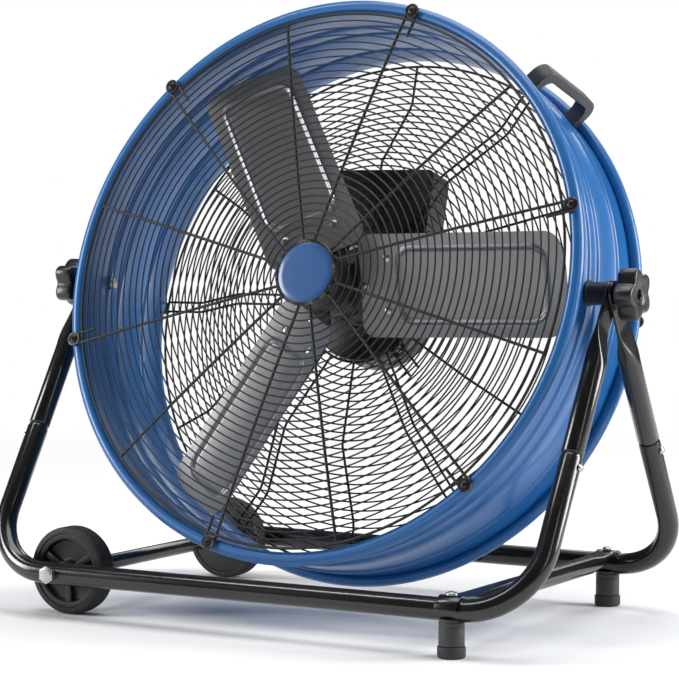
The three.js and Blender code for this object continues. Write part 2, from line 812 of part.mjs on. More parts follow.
function controlBoxLid() {
  const outline = new THREE.Shape(roundedRect(BOX_WIDTH, BOX_HEIGHT, BOX_CORNER));
  const inset = 2 * (BOX_WALL + GAP);
  const lip = new THREE.Shape(roundedRect(BOX_WIDTH - inset, BOX_HEIGHT - inset, BOX_CORNER - BOX_WALL));
  const plate = join(
    slabInDrum(outline, LID_BACK, BOX_BACK - GAP),
    slabInDrum(lip, BOX_BACK - 2 * GAP, BOX_BACK + LID_LIP),
  );
  const stem = moved(rodY(SWITCH_STEM_R + RUN, -BOX_FRONT, -LID_BACK + LID, 10), 0, 0, 0);
  const gland = moved(rodY(GLAND_BORE_R, -BOX_FRONT, -LID_BACK + LID, 10), GLAND_U, 0, GLAND_V - BOX_V);
  return moved(cut(plate, stem, gland), 0, 0, BOX_V);
}

function capacitor() {
  const floor = BOX_FRONT - BOX_WALL - GAP;
  const can = rodZ(CAPACITOR_R, -CAPACITOR_LENGTH / 2, CAPACITOR_LENGTH / 2, 14);
  return moved(can, CAPACITOR_U, -floor + CAPACITOR_R, BOX_V);
}

function rotarySwitch() {
  const front = BOX_BACK + LID_LIP + GAP;
  const body = new THREE.BoxGeometry(SWITCH_SIZE, SWITCH_DEPTH, SWITCH_SIZE);
  const stem = rodY(SWITCH_STEM_R, -front - LID, -LID_BACK + SWITCH_STEM, 10);
  return join(moved(body, 0, -front - SWITCH_DEPTH / 2, BOX_V), moved(stem, 0, 0, BOX_V));
}

function speedKnob() {
  const front = LID_BACK - RUN;
  const back = front - KNOB_DEPTH;
  const body = turnedInDrum(
    [
      [0, back],
      [KNOB_R * 0.8, back],
      [KNOB_R, front],
      [SWITCH_STEM_R + GAP, front],
      [SWITCH_STEM_R + GAP, LID_BACK - SWITCH_STEM - GAP],
      [0, LID_BACK - SWITCH_STEM - GAP],
    ],
    16,
  );
  const grip = new THREE.BoxGeometry(5, 3, KNOB_R * 1.5);
  return join(body, moved(grip, 0, -back, 0));
}

function cordGland() {
  const front = LID_BACK - GAP;
  return ringInDrum(GLAND_BORE_R, GLAND_R, front - GLAND_LENGTH, front, 10);
}

// ---- Blades and hub ----
const PITCH = rad(BLADE_PITCH);

// A point over the pitched and cambered blade: along it, across its chord and out from its front face.
function bladePoint(along, across, out) {
  const bow = BLADE_CAMBER * (across / (BLADE_CHORD / 2)) ** 2 + out;
  const y = -BLADE_DEPTH - across * Math.sin(PITCH) - bow * Math.cos(PITCH);
  return new THREE.Vector3(along, y, across * Math.cos(PITCH) - bow * Math.sin(PITCH));
}

// Stations on both sides of a pressed bead's crest.
function beadStations(crest) {
  return [crest - PRESSED_BEAD / 2, crest, crest + PRESSED_BEAD / 2];
}

function blade() {
  const corner = BLADE_CORNER;
  const soft = corner * (1 - Math.SQRT1_2);
  const ends = [BLADE_ROOT_R, BLADE_ROOT_R + soft, BLADE_ROOT_R + corner];
  const tips = [BLADE_TIP_R - corner, BLADE_TIP_R - soft, BLADE_TIP_R];
  const rows = [...ends, ...beadStations(PRESSED_INNER_R), ...beadStations(PRESSED_OUTER_R), ...tips];
  const half = PRESSED_WIDTH / 2;
  const columns = [-1, 0, 1].flatMap((s) => (s ? beadStations(s * half) : [0]));
  columns.unshift(-BLADE_CHORD / 2);
  columns.push(BLADE_CHORD / 2);
  const surface = (i, j, side) => {
    const r = rows[j];
    const toEnd = Math.min(r - BLADE_ROOT_R, BLADE_TIP_R - r, corner);
    const narrow = corner - Math.sqrt(corner ** 2 - (corner - toEnd) ** 2);
    const across = columns[i] * (1 - narrow / (BLADE_CHORD / 2));
    const share = ((r - BLADE_ROOT_R) / (BLADE_TIP_R - BLADE_ROOT_R)) ** 2;
    const along = r - share * (r - Math.sqrt(Math.max(0, r ** 2 - across ** 2)));
    const inside = r > PRESSED_INNER_R - 1 && r < PRESSED_OUTER_R + 1;
    const onSide = inside && Math.abs(Math.abs(columns[i]) - half) < 1;
    const onEnd = (r === PRESSED_INNER_R || r === PRESSED_OUTER_R) && Math.abs(columns[i]) <= half;
    const raised = onSide || onEnd ? PRESSED_HEIGHT : 0;
    return bladePoint(along, across, raised - (side ? 0 : BLADE_SHEET));
  };
  return sheet(columns.length - 1, rows.length - 1, surface);
}

function spiderArm() {
  const rows = [HUB_R * 0.7, HUB_R + 10, SPIDER_R - 8, SPIDER_R];
  const widths = [0.45, 1, 1, 0.8];
  const columns = 4;
  const back = -BLADE_SHEET - GAP;
  const surface = (i, j, side) => {
    const across = (i / columns - 0.5) * SPIDER_WIDTH * widths[j];
    return bladePoint(rows[j], across, side ? back : back - SPIDER_SHEET);
  };
  return sheet(columns, rows.length - 1, surface);
}

function fanHub() {
  const bore = SHAFT_R + GAP;
  const sleeve = turnedInDrum(
    [
      [0, HUB_FRONT],
      [HUB_R - 4, HUB_FRONT],
      [HUB_R, HUB_FRONT - 4],
      [HUB_R, HUB_BACK],
      [bore, HUB_BACK],
      [bore, HUB_FRONT - MOTOR_SHELL],
      [0, HUB_FRONT - MOTOR_SHELL],
    ],
    16,
  );
  const arms = bladeAngles().map((a) => moved(spiderArm(), 0, 0, 0, 0, -a));
  return join(sleeve, ...arms);
}

function bladeAngles() {
  return Array.from({ length: BLADE_COUNT }, (_, k) => rad(BLADE_PHASE) + (k * Math.PI * 2) / BLADE_COUNT);
}

// ---- Handle ----
function arcCorner(x, y, corner, from, steps = 3) {
  const points = [];
  for (let i = 0; i <= steps; i++) {
    const a = from - (i / steps) * (Math.PI / 2);
    points.push(new THREE.Vector2(x + corner * Math.cos(a), y + corner * Math.sin(a)));
  }
  return points;
}

function handle() {
  const top = WALL_R + HANDLE_HEIGHT;
  const c = HANDLE_CORNER;
  const inner = c - HANDLE_BAR / 2;
  const low = DRUM_R - SHEET;
  const outline = [
    new THREE.Vector2(HANDLE_BACK, low),
    ...arcCorner(HANDLE_BACK + c, top - c, c, Math.PI),
    ...arcCorner(HANDLE_FRONT - c, top - c, c, Math.PI / 2),
    new THREE.Vector2(HANDLE_FRONT, low),
    new THREE.Vector2(HANDLE_FRONT - HANDLE_FOOT, low),
    ...arcCorner(HANDLE_FRONT - HANDLE_FOOT - inner, top - HANDLE_BAR - inner, inner, Math.PI / 2).reverse(),
    ...arcCorner(HANDLE_BACK + HANDLE_FOOT + inner, top - HANDLE_BAR - inner, inner, Math.PI).reverse(),
    new THREE.Vector2(HANDLE_BACK + HANDLE_FOOT, low),
  ];
  const shape = new THREE.Shape(outline.map((p) => new THREE.Vector2(p.y, -p.x)));
  const bar = new THREE.ExtrudeGeometry(shape, {
    depth: HANDLE_WIDTH - 3,
    bevelEnabled: true,
    bevelThickness: 1.5,
    bevelSize: 1.5,
    bevelOffset: -1.5,
    bevelSegments: 1,
  });
  const across = moved(bar, 0, 0, -(HANDLE_WIDTH - 3) / 2);
  const screws = handleScrewDepths().map((depth) => {
    const hole = rodX(holeR(HANDLE_SCREW_R), DRUM_R - 4, WALL_R + HANDLE_SCREW_DEPTH + GAP, 8);
    return moved(hole, 0, -depth, 0);
  });
  return seatOnDrum(moved(cut(across, ...screws), 0, 0, 0, 0, -rad(HANDLE_ANGLE)));
}

function handleScrewDepths() {
  return [HANDLE_FRONT - HANDLE_FOOT / 2, HANDLE_BACK + HANDLE_FOOT / 2];
}

// A screw driven outwards through the sheet, with its head inside the drum.
function wallScrew(r, headR, head, reach, facets) {
  const flat = DRUM_R * Math.cos(Math.PI / DRUM_FACETS) - GAP;
  const body = turned(
    [
      [0, flat - head],
      [headR * 0.8, flat - head],
      [headR, flat - head * 0.6],
      [headR, flat],
      [r, flat],
      [r, reach],
      [0, reach],
    ],
    facets,
  );
  return moved(body, 0, 0, 0, 0, 0, -Math.PI / 2);
}

// ---- Pivots ----
const TONGUE_INNER = LEG_X - GAP / 2 - TONGUE;
const TONGUE_OUTER = LEG_X + GAP / 2 + TONGUE;
const STAR_INNER = TONGUE_OUTER + GAP;
const STAR_FACE = STAR_INNER + STAR_STEM + STAR_THICK;

function pivotSpacer() {
  const start = DRUM_R;
  const end = TONGUE_INNER - GAP;
  const boss = rodX(SPACER_R, start, end, 16);
  return cut(seatOnDrum(boss), rodX(holeR(PIVOT_BOLT_R), start - 1, end + 1, 8));
}

function starKnob() {
  const points = [];
  const count = STAR_LOBES * 6;
  for (let i = 0; i < count; i++) {
    const a = (i * Math.PI * 2) / count;
    points.push(polar(STAR_R - STAR_DIP / 2 + (STAR_DIP / 2) * Math.cos(STAR_LOBES * a), a));
  }
  const star = new THREE.ExtrudeGeometry(new THREE.Shape(points), {
    depth: STAR_THICK,
    bevelEnabled: false,
  });
  const body = moved(star, STAR_INNER + STAR_STEM, 0, 0, 0, Math.PI / 2);
  const stem = rodX(STAR_STEM_R, STAR_INNER, STAR_INNER + STAR_STEM + 4, 12);
  return cut(join(body, stem), rodX(holeR(PIVOT_BOLT_R), STAR_INNER - 1, STAR_FACE + 1, 8));
}

// ---- Stand ----
const LEAN = Math.atan2(RAIL_Y, PIVOT_HEIGHT - RAIL_Z);
const SLOPE = Math.hypot(RAIL_Y, PIVOT_HEIGHT - RAIL_Z);

// A piece of the stand is drawn upright, as (x, 0, distance up the slope), and leans to the pivots.
// side is -1 in front and 1 at the rear.
function leaned(geometry, side) {
  return moved(geometry, 0, side * RAIL_Y, RAIL_Z, side * LEAN);
}

function bendStations(cx, fromAngle, toAngle, steps) {
  const stations = [];
  const way = Math.sign(toAngle - fromAngle);
  for (let i = 0; i <= steps; i++) {
    const a = fromAngle + ((toAngle - fromAngle) * i) / steps;
    stations.push({
      point: new THREE.Vector3(cx + BEND_R * Math.cos(a), 0, BEND_R + BEND_R * Math.sin(a)),
      tangent: new THREE.Vector3(-way * Math.sin(a), 0, way * Math.cos(a)),
    });
  }
  return stations;
}

function baseTube(side) {
  const bend = LEG_X - BEND_R;
  const down = new THREE.Vector3(0, 0, -1);
  const up = new THREE.Vector3(0, 0, 1);
  const path = new StationPath([
    { point: new THREE.Vector3(-LEG_X, 0, SEAM), tangent: down },
    ...bendStations(-bend, Math.PI, Math.PI * 1.5, 5),
    ...bendStations(bend, Math.PI * 1.5, Math.PI * 2, 5),
    { point: new THREE.Vector3(LEG_X, 0, SEAM), tangent: up },
  ]);
  const section = [];
  for (let i = 0; i < TUBE_FACETS; i++) section.push(polar(TUBE_R, (i * Math.PI * 2) / TUBE_FACETS));
  const sweep = new THREE.ExtrudeGeometry(new THREE.Shape(section), {
    steps: path.stations.length - 1,
    bevelEnabled: false,
    extrudePath: path,
  });
  const sockets = [-LEG_X, LEG_X].map((x) => {
    const socket = rodZ(TUBE_R - TUBE_WALL, SEAM - LEG_INSERT - GAP, SEAM + 1, 8);
    return leaned(moved(socket, x, 0, 0), side);
  });
  const bolts = [-1, 1].map((end) => {
    const hole = end > 0 ? rodX(holeR(LEG_BOLT_R), LEG_X, LEG_X + TUBE_R + 2, 8) : null;
    const left = end < 0 ? rodX(holeR(LEG_BOLT_R), -LEG_X - TUBE_R - 2, -LEG_X, 8) : null;
    return leaned(moved(hole || left, 0, 0, SEAM - LEG_BOLT_DROP), side);
  });
  const y = side * RAIL_Y;
  const axle = moved(rodY(holeR(AXLE_R), y - 2 * TUBE_R, y + 2 * TUBE_R, 8), WHEEL_X, 0, RAIL_Z);
  const screw = moved(rodZ(holeR(BRACE_SCREW_R), RAIL_Z - 2 * TUBE_R, RAIL_Z + 2 * TUBE_R, 8), BRACE_X, y, 0);
  return cut(leaned(sweep, side), ...sockets, ...bolts, axle, screw);
}

// A leg's section: flat along X and wide across the slope, from round to nearly square-cornered.
function legSection(s, width, thick, x, square) {
  const points = [];
  const count = 8;
  const power = 2 / (2 + square * 6);
  for (let i = 0; i < count; i++) {
    const a = ((i + 0.5) * Math.PI * 2) / count;
    const c = Math.cos(a);
    const t = Math.sin(a);
    const px = x + Math.sign(c) * Math.abs(c) ** power * thick;
    const py = Math.sign(t) * Math.abs(t) ** power * width;
    points.push(new THREE.Vector3(px, py, s));
  }
  return points;
}

// end is -1 at the left and 1 at the right. The front legs' tongues lie inside the rear legs' tongues.
function upperLeg(side, end) {
  const inside = (TUBE_R - TUBE_WALL) * Math.cos(Math.PI / 8) - GAP;
  const flat = TONGUE / 2;
  const x = end * LEG_X;
  const tongue = end * (side < 0 ? LEG_X - GAP / 2 - flat : LEG_X + GAP / 2 + flat);
  const from = SLOPE - FLATTEN_DROP;
  const to = SLOPE - TONGUE_DROP;
  const mid = (from + to) / 2;
  const sections = [
    legSection(SEAM - LEG_INSERT, inside, inside, x, 0),
    legSection(SEAM + GAP, inside, inside, x, 0),
    legSection(SEAM + LEG_SWAGE, TUBE_R, TUBE_R, x, 0),
    legSection(from, TUBE_R, TUBE_R, x, 0),
    legSection(mid, TUBE_R + 2, TUBE_R * 0.5, (x + tongue) / 2, 0.3),
    legSection(to, TONGUE_R, flat, tongue, 1),
    legSection(SLOPE, TONGUE_R, flat, tongue, 1),
    legSection(SLOPE + TONGUE_R * 0.7, TONGUE_R * 0.72, flat, tongue, 1),
    legSection(SLOPE + TONGUE_R, TONGUE_R * 0.2, flat, tongue, 1),
  ];
  const pivot = moved(rodX(holeR(PIVOT_BOLT_R), tongue - 4 * TONGUE, tongue + 4 * TONGUE, 8), 0, 0, SLOPE);
  const out = end * (LEG_X + TUBE_R);
  const bolt = rodX(holeR(LEG_BOLT_R), Math.min(x, out), Math.max(x, out), 8);
  return leaned(cut(loft(sections), pivot, moved(bolt, 0, 0, SEAM - LEG_BOLT_DROP)), side);
}

function legBolt(side, end) {
  const seat = TUBE_R + GAP;
  const shank = TUBE_R * 0.4;
  const body = turned(
    [
      [0, shank],
      [LEG_BOLT_R, shank],
      [LEG_BOLT_R, seat],
      [LEG_BOLT_HEAD_R, seat],
      [LEG_BOLT_HEAD_R * 0.7, seat + LEG_BOLT_HEAD],
      [0, seat + LEG_BOLT_HEAD],
    ],
    8,
  );
  const out = moved(body, end * LEG_X, 0, SEAM - LEG_BOLT_DROP, 0, 0, (-end * Math.PI) / 2);
  return leaned(out, side);
}

// ---- Brace and feet ----
// Half of the brace's saddle: a band bent over the rail.
function saddle(side) {
  const points = [];
  const steps = 6;
  for (let i = 0; i <= steps; i++) points.push(polar(TUBE_R + GAP + SADDLE, (Math.PI * i) / steps));
  for (let i = steps; i >= 0; i--) points.push(polar(TUBE_R + GAP, (Math.PI * i) / steps));
  const band = new THREE.ExtrudeGeometry(new THREE.Shape(points), {
    depth: SADDLE_LENGTH,
    bevelEnabled: false,
  });
  return moved(band, BRACE_X - SADDLE_LENGTH / 2, side * RAIL_Y, RAIL_Z, Math.PI / 2, Math.PI / 2, 0);
}

function braceSection(y, halfWide, halfThick, z) {
  const points = [];
  for (let i = 0; i < 8; i++) {
    const a = ((i + 0.5) * Math.PI) / 4;
    points.push(new THREE.Vector3(BRACE_X - halfWide * Math.cos(a), y, z + halfThick * Math.sin(a)));
  }
  return points;
}

function crossBrace() {
  const top = RAIL_Z + TUBE_R + GAP + SADDLE / 2;
  const low = RAIL_Z + 4;
  const near = RAIL_Y - TUBE_R * 0.5;
  const flare = RAIL_Y - 2.2 * TUBE_R;
  const start = RAIL_Y - 4.5 * TUBE_R;
  const half = SADDLE_LENGTH / 2;
  const ys = [
    [-near, half, SADDLE / 2, top - 1],
    [-flare, half, SADDLE, (top + low) / 2],
    [-start, BRACE_R, BRACE_R, low],
    [start, BRACE_R, BRACE_R, low],
    [flare, half, SADDLE, (top + low) / 2],
    [near, half, SADDLE / 2, top - 1],
  ];
  const bar = loft(ys.map((s) => braceSection(...s)));
  const rails = [-1, 1].map((side) => {
    const keep = rodX(TUBE_R + GAP, BRACE_X - SADDLE_LENGTH, BRACE_X + SADDLE_LENGTH, 16);
    return moved(keep, 0, side * RAIL_Y, RAIL_Z);
  });
  const holes = [-1, 1].map((side) =>
    moved(rodZ(holeR(BRACE_SCREW_R), RAIL_Z, RAIL_Z + 3 * TUBE_R, 8), BRACE_X, side * RAIL_Y, 0),
  );
  return cut(join(bar, saddle(-1), saddle(1)), ...rails, ...holes);
}

function braceScrew(side) {
  const seat = RAIL_Z + TUBE_R + 2 * GAP + SADDLE;
  const end = RAIL_Z - TUBE_R - POST_SCREW_DEPTH;
  const head = turned(
    [
      [0, end],
      [BRACE_SCREW_R, end],
      [BRACE_SCREW_R, seat],
      [BRACE_SCREW_HEAD_R, seat],
      [BRACE_SCREW_HEAD_R * 0.65, seat + BRACE_SCREW_HEAD],
      [0, seat + BRACE_SCREW_HEAD],
    ],
    8,
  );
  return moved(head, BRACE_X, side * RAIL_Y, 0, Math.PI / 2);
}

function footPost(side) {
  const bore = holeR(BRACE_SCREW_R);
  const floor = RAIL_Z - TUBE_R - POST_SCREW_DEPTH - GAP;
  const post = turned(
    [
      [0, PAD + GAP],
      [POST_R, PAD + GAP],
      [POST_R, RAIL_Z],
      [bore, RAIL_Z],
      [bore, floor],
      [0, floor],
    ],
    18,
  );
  const upright = moved(post, BRACE_X, side * RAIL_Y, 0, Math.PI / 2);
  const rail = rodX(TUBE_R + GAP, BRACE_X - 2 * POST_R, BRACE_X + 2 * POST_R, 16);
  const above = new THREE.BoxGeometry(4 * POST_R, 4 * POST_R, 2 * TUBE_R);
  const drop = RAIL_Z - TUBE_R * 0.6;
  return cut(
    upright,
    moved(rail, 0, side * RAIL_Y, RAIL_Z),
    moved(above, BRACE_X, side * RAIL_Y, drop + TUBE_R),
  );
}

function footPad(side) {
  const pad = turned(
    [
      [0, 0],
      [PAD_R - 1, 0],
      [PAD_R, 1.2],
      [PAD_R, PAD],
      [0, PAD],
    ],
    18,
  );
  return moved(pad, BRACE_X, side * RAIL_Y, 0, Math.PI / 2);
}

// ---- Wheels ----
const WHEEL_BACK_Y = WHEEL_FACE_Y - WHEEL_WIDTH;
const RAIL_FACE_Y = RAIL_Y - TUBE_R;

function tyre() {
  const r = WHEEL_R - TYRE;
  return turned(
    [
      [r, WHEEL_BACK_Y],
      [WHEEL_R - 3, WHEEL_BACK_Y],
      [WHEEL_R, WHEEL_BACK_Y + 3.5],
      [WHEEL_R, WHEEL_FACE_Y - 3.5],
      [WHEEL_R - 3, WHEEL_FACE_Y],
      [r, WHEEL_FACE_Y],
    ],
    WHEEL_FACETS,
    true,
  );
}

function wheelHub() {
  const outer = WHEEL_R - TYRE - GAP;
  const bore = AXLE_R + GAP;
  const mid = (WHEEL_BACK_Y + WHEEL_FACE_Y) / 2;
  const inset = 1;
  const body = turned(
    [
      [bore, WHEEL_BACK_Y - 3],
      [BOSS_R, WHEEL_BACK_Y - 3],
      [BOSS_R, WHEEL_BACK_Y + inset],
      [outer, WHEEL_BACK_Y + inset],
      [outer, WHEEL_FACE_Y - inset],
      [outer - RIM, WHEEL_FACE_Y - inset],
      [outer - RIM, mid + WEB / 2],
      [BOSS_R, mid + WEB / 2],
      [BOSS_R, RAIL_FACE_Y - RUN],
      [bore, RAIL_FACE_Y - RUN],
    ],
    WHEEL_FACETS,
    true,
  );
  const spokes = [];
  for (let k = 0; k < WHEEL_SPOKES; k++) {
    const a = (k * Math.PI * 2) / WHEEL_SPOKES + Math.PI / 6;
    const reach = (BOSS_R + outer - RIM) / 2;
    const spoke = new THREE.BoxGeometry(outer - RIM - BOSS_R + 3, WHEEL_WIDTH - 6, RIM);
    spokes.push(moved(spoke, reach * Math.cos(a), mid, -reach * Math.sin(a), 0, a));
  }
  return join(body, ...spokes);
}

const AXLE_SEAT_Y = RAIL_Y + TUBE_R + GAP;

function hexR() {
  return AXLE_HEAD_AF / 2 / Math.cos(Math.PI / 6);
}

function axle() {
  const shank = rodY(AXLE_R, -AXLE_SEAT_Y - 1, AXLE_SEAT_Y + AXLE_HEAD, 12);
  const head = rodY(hexR(), -AXLE_SEAT_Y - AXLE_HEAD, -AXLE_SEAT_Y, 6);
  return join(shank, head);
}

function axleNut() {
  const bore = (AXLE_R + GAP) / Math.cos(Math.PI / 6);
  return turned(
    [
      [bore, AXLE_SEAT_Y],
      [hexR(), AXLE_SEAT_Y],
      [hexR(), AXLE_SEAT_Y + AXLE_HEAD],
      [bore, AXLE_SEAT_Y + AXLE_HEAD],
    ],
    6,
    true,
  );
}

function axleSleeve() {
  const end = WHEEL_BACK_Y - 3 - RUN;
  const bore = SLEEVE_R - SLEEVE_WALL;
  return turned(
    [
      [bore, -end],
      [SLEEVE_R, -end],
      [SLEEVE_R, end],
      [bore, end],
    ],
    14,
    true,
  );
}

// ---- Assembly ----
function buildStand() {
  const stand = new THREE.Group();
  const sides = [
    ["front", -1],
    ["rear", 1],
  ];
  const ends = [
    ["left", -1],
    ["right", 1],
  ];
  for (const [where, side] of sides) {
    addPiece(stand, `${where}_base_tube`, baseTube(side), BLACK_GLOSS);
    for (const [hand, end] of ends) {
      addPiece(stand, `${where}_${hand}_leg`, upperLeg(side, end), BLACK_GLOSS);
      addPiece(stand, `${where}_${hand}_leg_bolt`, legBolt(side, end), ZINC);
    }
    addPiece(stand, `${where}_brace_screw`, braceScrew(side), ZINC);
    addPiece(stand, `${where}_foot_post`, footPost(side), DARK_PLASTIC);
    addPiece(stand, `${where}_foot_pad`, footPad(side), RUBBER);
  }
  addPiece(stand, "cross_brace", crossBrace(), BLACK_GLOSS);
  return stand;
}

function buildWheels() {
  const wheels = new THREE.Group();
  wheels.position.set(WHEEL_X, 0, RAIL_Z);
  addPiece(wheels, "axle", axle(), ZINC);
  addPiece(wheels, "axle_nut", axleNut(), ZINC);
  addPiece(wheels, "axle_sleeve", axleSleeve(), BLACK_GLOSS);
  const front = new THREE.Group();
  front.rotation.z = Math.PI;
  addPiece(front, "front_wheel_hub", wheelHub(), BLACK_PLASTIC);
  addPiece(front, "front_wheel_tyre", tyre(), RUBBER);
  addPiece(wheels, "rear_wheel_hub", wheelHub(), BLACK_PLASTIC);
  addPiece(wheels, "rear_wheel_tyre", tyre(), RUBBER);
  wheels.add(front);
  return wheels;
}

function buildDrum() {
  const drum = new THREE.Group();
  drum.position.z = PIVOT_HEIGHT;
  drum.rotation.x = -rad(TILT);
  addPiece(drum, "drum_shell", drumShell(), BLUE);
  addPiece(drum, "front_grille", frontGrille(), BLACK_WIRE);
  addPiece(drum, "rear_grille", rearGrille(), BLACK_WIRE);
  for (let k = 0; k < CLIP_COUNT; k++) {
    const at = polar(FRONT_BEAD_R, rad(CLIP_PHASE) + (k * Math.PI * 2) / CLIP_COUNT);
    addPiece(drum, `clip_${k + 1}`, clip(), BLACK_PLASTIC).position.set(at.x, 0, at.y);
  }
  addPiece(drum, "badge_ring", badgeRing(), BLACK_PLASTIC);
  addPiece(drum, "badge_disc", badgeDisc(), BADGE_BLUE);
  addPiece(drum, "handle", handle(), DARK_PLASTIC);
  handleScrewDepths().forEach((depth, k) => {
    const reach = WALL_R + HANDLE_SCREW_DEPTH;
    const screw = wallScrew(HANDLE_SCREW_R, HANDLE_SCREW_HEAD_R, 3, reach, 8);
    const mesh = addPiece(drum, k ? "rear_handle_screw" : "front_handle_screw", screw, ZINC);
    mesh.position.y = -depth;
    mesh.rotation.y = -rad(HANDLE_ANGLE);
  });
  addPiece(drum, "motor_front_shell", motorFrontShell(), MOTOR_BLACK);
  addPiece(drum, "motor_rear_shell", motorRearShell(), MOTOR_BLACK);
  addPiece(drum, "stator", stator(), COPPER);
  addPiece(drum, "front_bearing", bearing(FRONT_BEARING), STEEL);
  addPiece(drum, "rear_bearing", bearing(REAR_BEARING), STEEL);
  addPiece(drum, "control_box", controlBox(), BLACK_GLOSS);
  addPiece(drum, "control_box_lid", controlBoxLid(), BLACK_GLOSS);
  addPiece(drum, "capacitor", capacitor(), DARK_PLASTIC);
  addPiece(drum, "rotary_switch", rotarySwitch(), DARK_PLASTIC);
  addPiece(drum, "cord_gland", cordGland(), BLACK_PLASTIC).position.set(GLAND_U, 0, GLAND_V);
  addPiece(drum, "speed_knob", speedKnob(), BLACK_PLASTIC).position.z = BOX_V;
  return drum;
}

function buildFan() {
  const fan = new THREE.Group();
  fan.position.z = PIVOT_HEIGHT;
  fan.rotation.x = -rad(TILT);
  addPiece(fan, "rotor", rotor(), STEEL);
  addPiece(fan, "fan_hub", fanHub(), DARK_PLASTIC);
  bladeAngles().forEach((a, k) => {
    addPiece(fan, `blade_${k + 1}`, blade(), GREY_BLADE).rotation.y = -a;
  });
  return fan;
}

// Bolt, spacer and knob on the tilt axis, at the right side and turned half round for the left.
function buildPivot(hand, turn) {
  const pivot = new THREE.Group();
  pivot.position.z = PIVOT_HEIGHT;
  const tilted = new THREE.Group();
  tilted.rotation.x = -rad(TILT);
  const side = new THREE.Group();
  side.rotation.y = turn;
  const bolt = wallScrew(PIVOT_BOLT_R, PIVOT_HEAD_R, PIVOT_HEAD, STAR_FACE - PIVOT_BOLT_END, 10);
  addPiece(side, `${hand}_pivot_bolt`, bolt, ZINC);
  addPiece(side, `${hand}_pivot_spacer`, pivotSpacer(), BLACK_PLASTIC);
  addPiece(side, `${hand}_star_knob`, starKnob(), DARK_PLASTIC);
  tilted.add(side);
  pivot.add(tilted);
  return pivot;
}

const fan = new THREE.Group();
fan.add(buildStand(), buildWheels(), buildDrum(), buildFan());
fan.add(buildPivot("right", 0), buildPivot("left", Math.PI));

export default fan;
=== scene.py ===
"""A tilting drum fan on a wheeled tube stand, dressed for the photograph's view.

Sizes are in millimetres until a piece is finished, when they become metres in the part's own frame.
"""

import json
import logging
import math
from collections.abc import Callable, Sequence
from dataclasses import dataclass, field
from enum import Enum

import bmesh
import bpy
from mathutils import Matrix, Vector

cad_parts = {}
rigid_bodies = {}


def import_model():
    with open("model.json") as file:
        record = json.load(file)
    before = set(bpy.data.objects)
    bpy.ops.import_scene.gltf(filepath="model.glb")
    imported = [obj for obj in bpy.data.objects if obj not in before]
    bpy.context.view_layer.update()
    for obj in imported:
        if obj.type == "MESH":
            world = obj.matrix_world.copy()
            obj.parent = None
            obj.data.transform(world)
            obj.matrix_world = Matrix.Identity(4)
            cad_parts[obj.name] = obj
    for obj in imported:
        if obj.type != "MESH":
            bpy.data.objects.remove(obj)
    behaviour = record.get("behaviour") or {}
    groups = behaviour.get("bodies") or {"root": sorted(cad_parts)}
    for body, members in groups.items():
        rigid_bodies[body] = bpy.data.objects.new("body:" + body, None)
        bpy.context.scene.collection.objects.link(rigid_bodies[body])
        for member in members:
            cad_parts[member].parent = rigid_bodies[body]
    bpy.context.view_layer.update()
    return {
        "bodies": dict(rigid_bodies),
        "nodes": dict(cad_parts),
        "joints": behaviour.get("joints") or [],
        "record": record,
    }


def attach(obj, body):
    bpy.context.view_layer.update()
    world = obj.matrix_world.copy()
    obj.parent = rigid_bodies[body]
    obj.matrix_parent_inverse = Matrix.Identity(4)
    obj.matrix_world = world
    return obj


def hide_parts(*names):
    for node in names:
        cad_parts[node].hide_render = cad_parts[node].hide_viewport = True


logging.basicConfig(level=logging.INFO, format="%(message)s")
log = logging.getLogger("fan")

Point = tuple[float, float, float]
Pair = tuple[float, float]

DRUM_R = 320.0
SHEET = 2.0
TILT = math.radians(15.76)
PIVOT_HEIGHT = 380.7
RAIL_Y = 204.0
RAIL_Z = 51.0
LEG_X = 352.0
TUBE_R = 12.5
GAP = 0.3
SLOPE = math.hypot(RAIL_Y, PIVOT_HEIGHT - RAIL_Z)
LEAN = math.atan2(RAIL_Y, PIVOT_HEIGHT - RAIL_Z)

QUARTER = math.pi / 2
SHARP = math.radians(30)  # edges sharper than this are rounded
ON_AXIS = 1e-6
MERGE = 1e-4
WIRE_STEPS = 26
DUST_COLOUR = (0.42, 0.4, 0.37)
COAT_ROUGHNESS = 0.12


def shift(x: float, y: float, z: float) -> Matrix:
    """A move without a turn."""
    return Matrix.Translation((x, y, z))


def spin(angle: float, axis: str) -> Matrix:
    """A turn about an axis through the origin, in radians."""
    return Matrix.Rotation(angle, 4, axis)


METRES = Matrix.Scale(0.001, 4)
FACE = METRES @ shift(0, 0, PIVOT_HEIGHT) @ spin(QUARTER - TILT, "X")


class End(Enum):
    """The two ends of the tilt axis."""

    LEFT = -1
    RIGHT = 1

    @property
    def word(self) -> str:
        """The end's name in lower case."""
        return self.name.lower()


class Side(Enum):
    """The two long sides of the stand."""

    FRONT = -1
    REAR = 1

    @property
    def word(self) -> str:
        """The side's name in lower case."""
        return self.name.lower()


# ---------------------------------------------------------------- forms


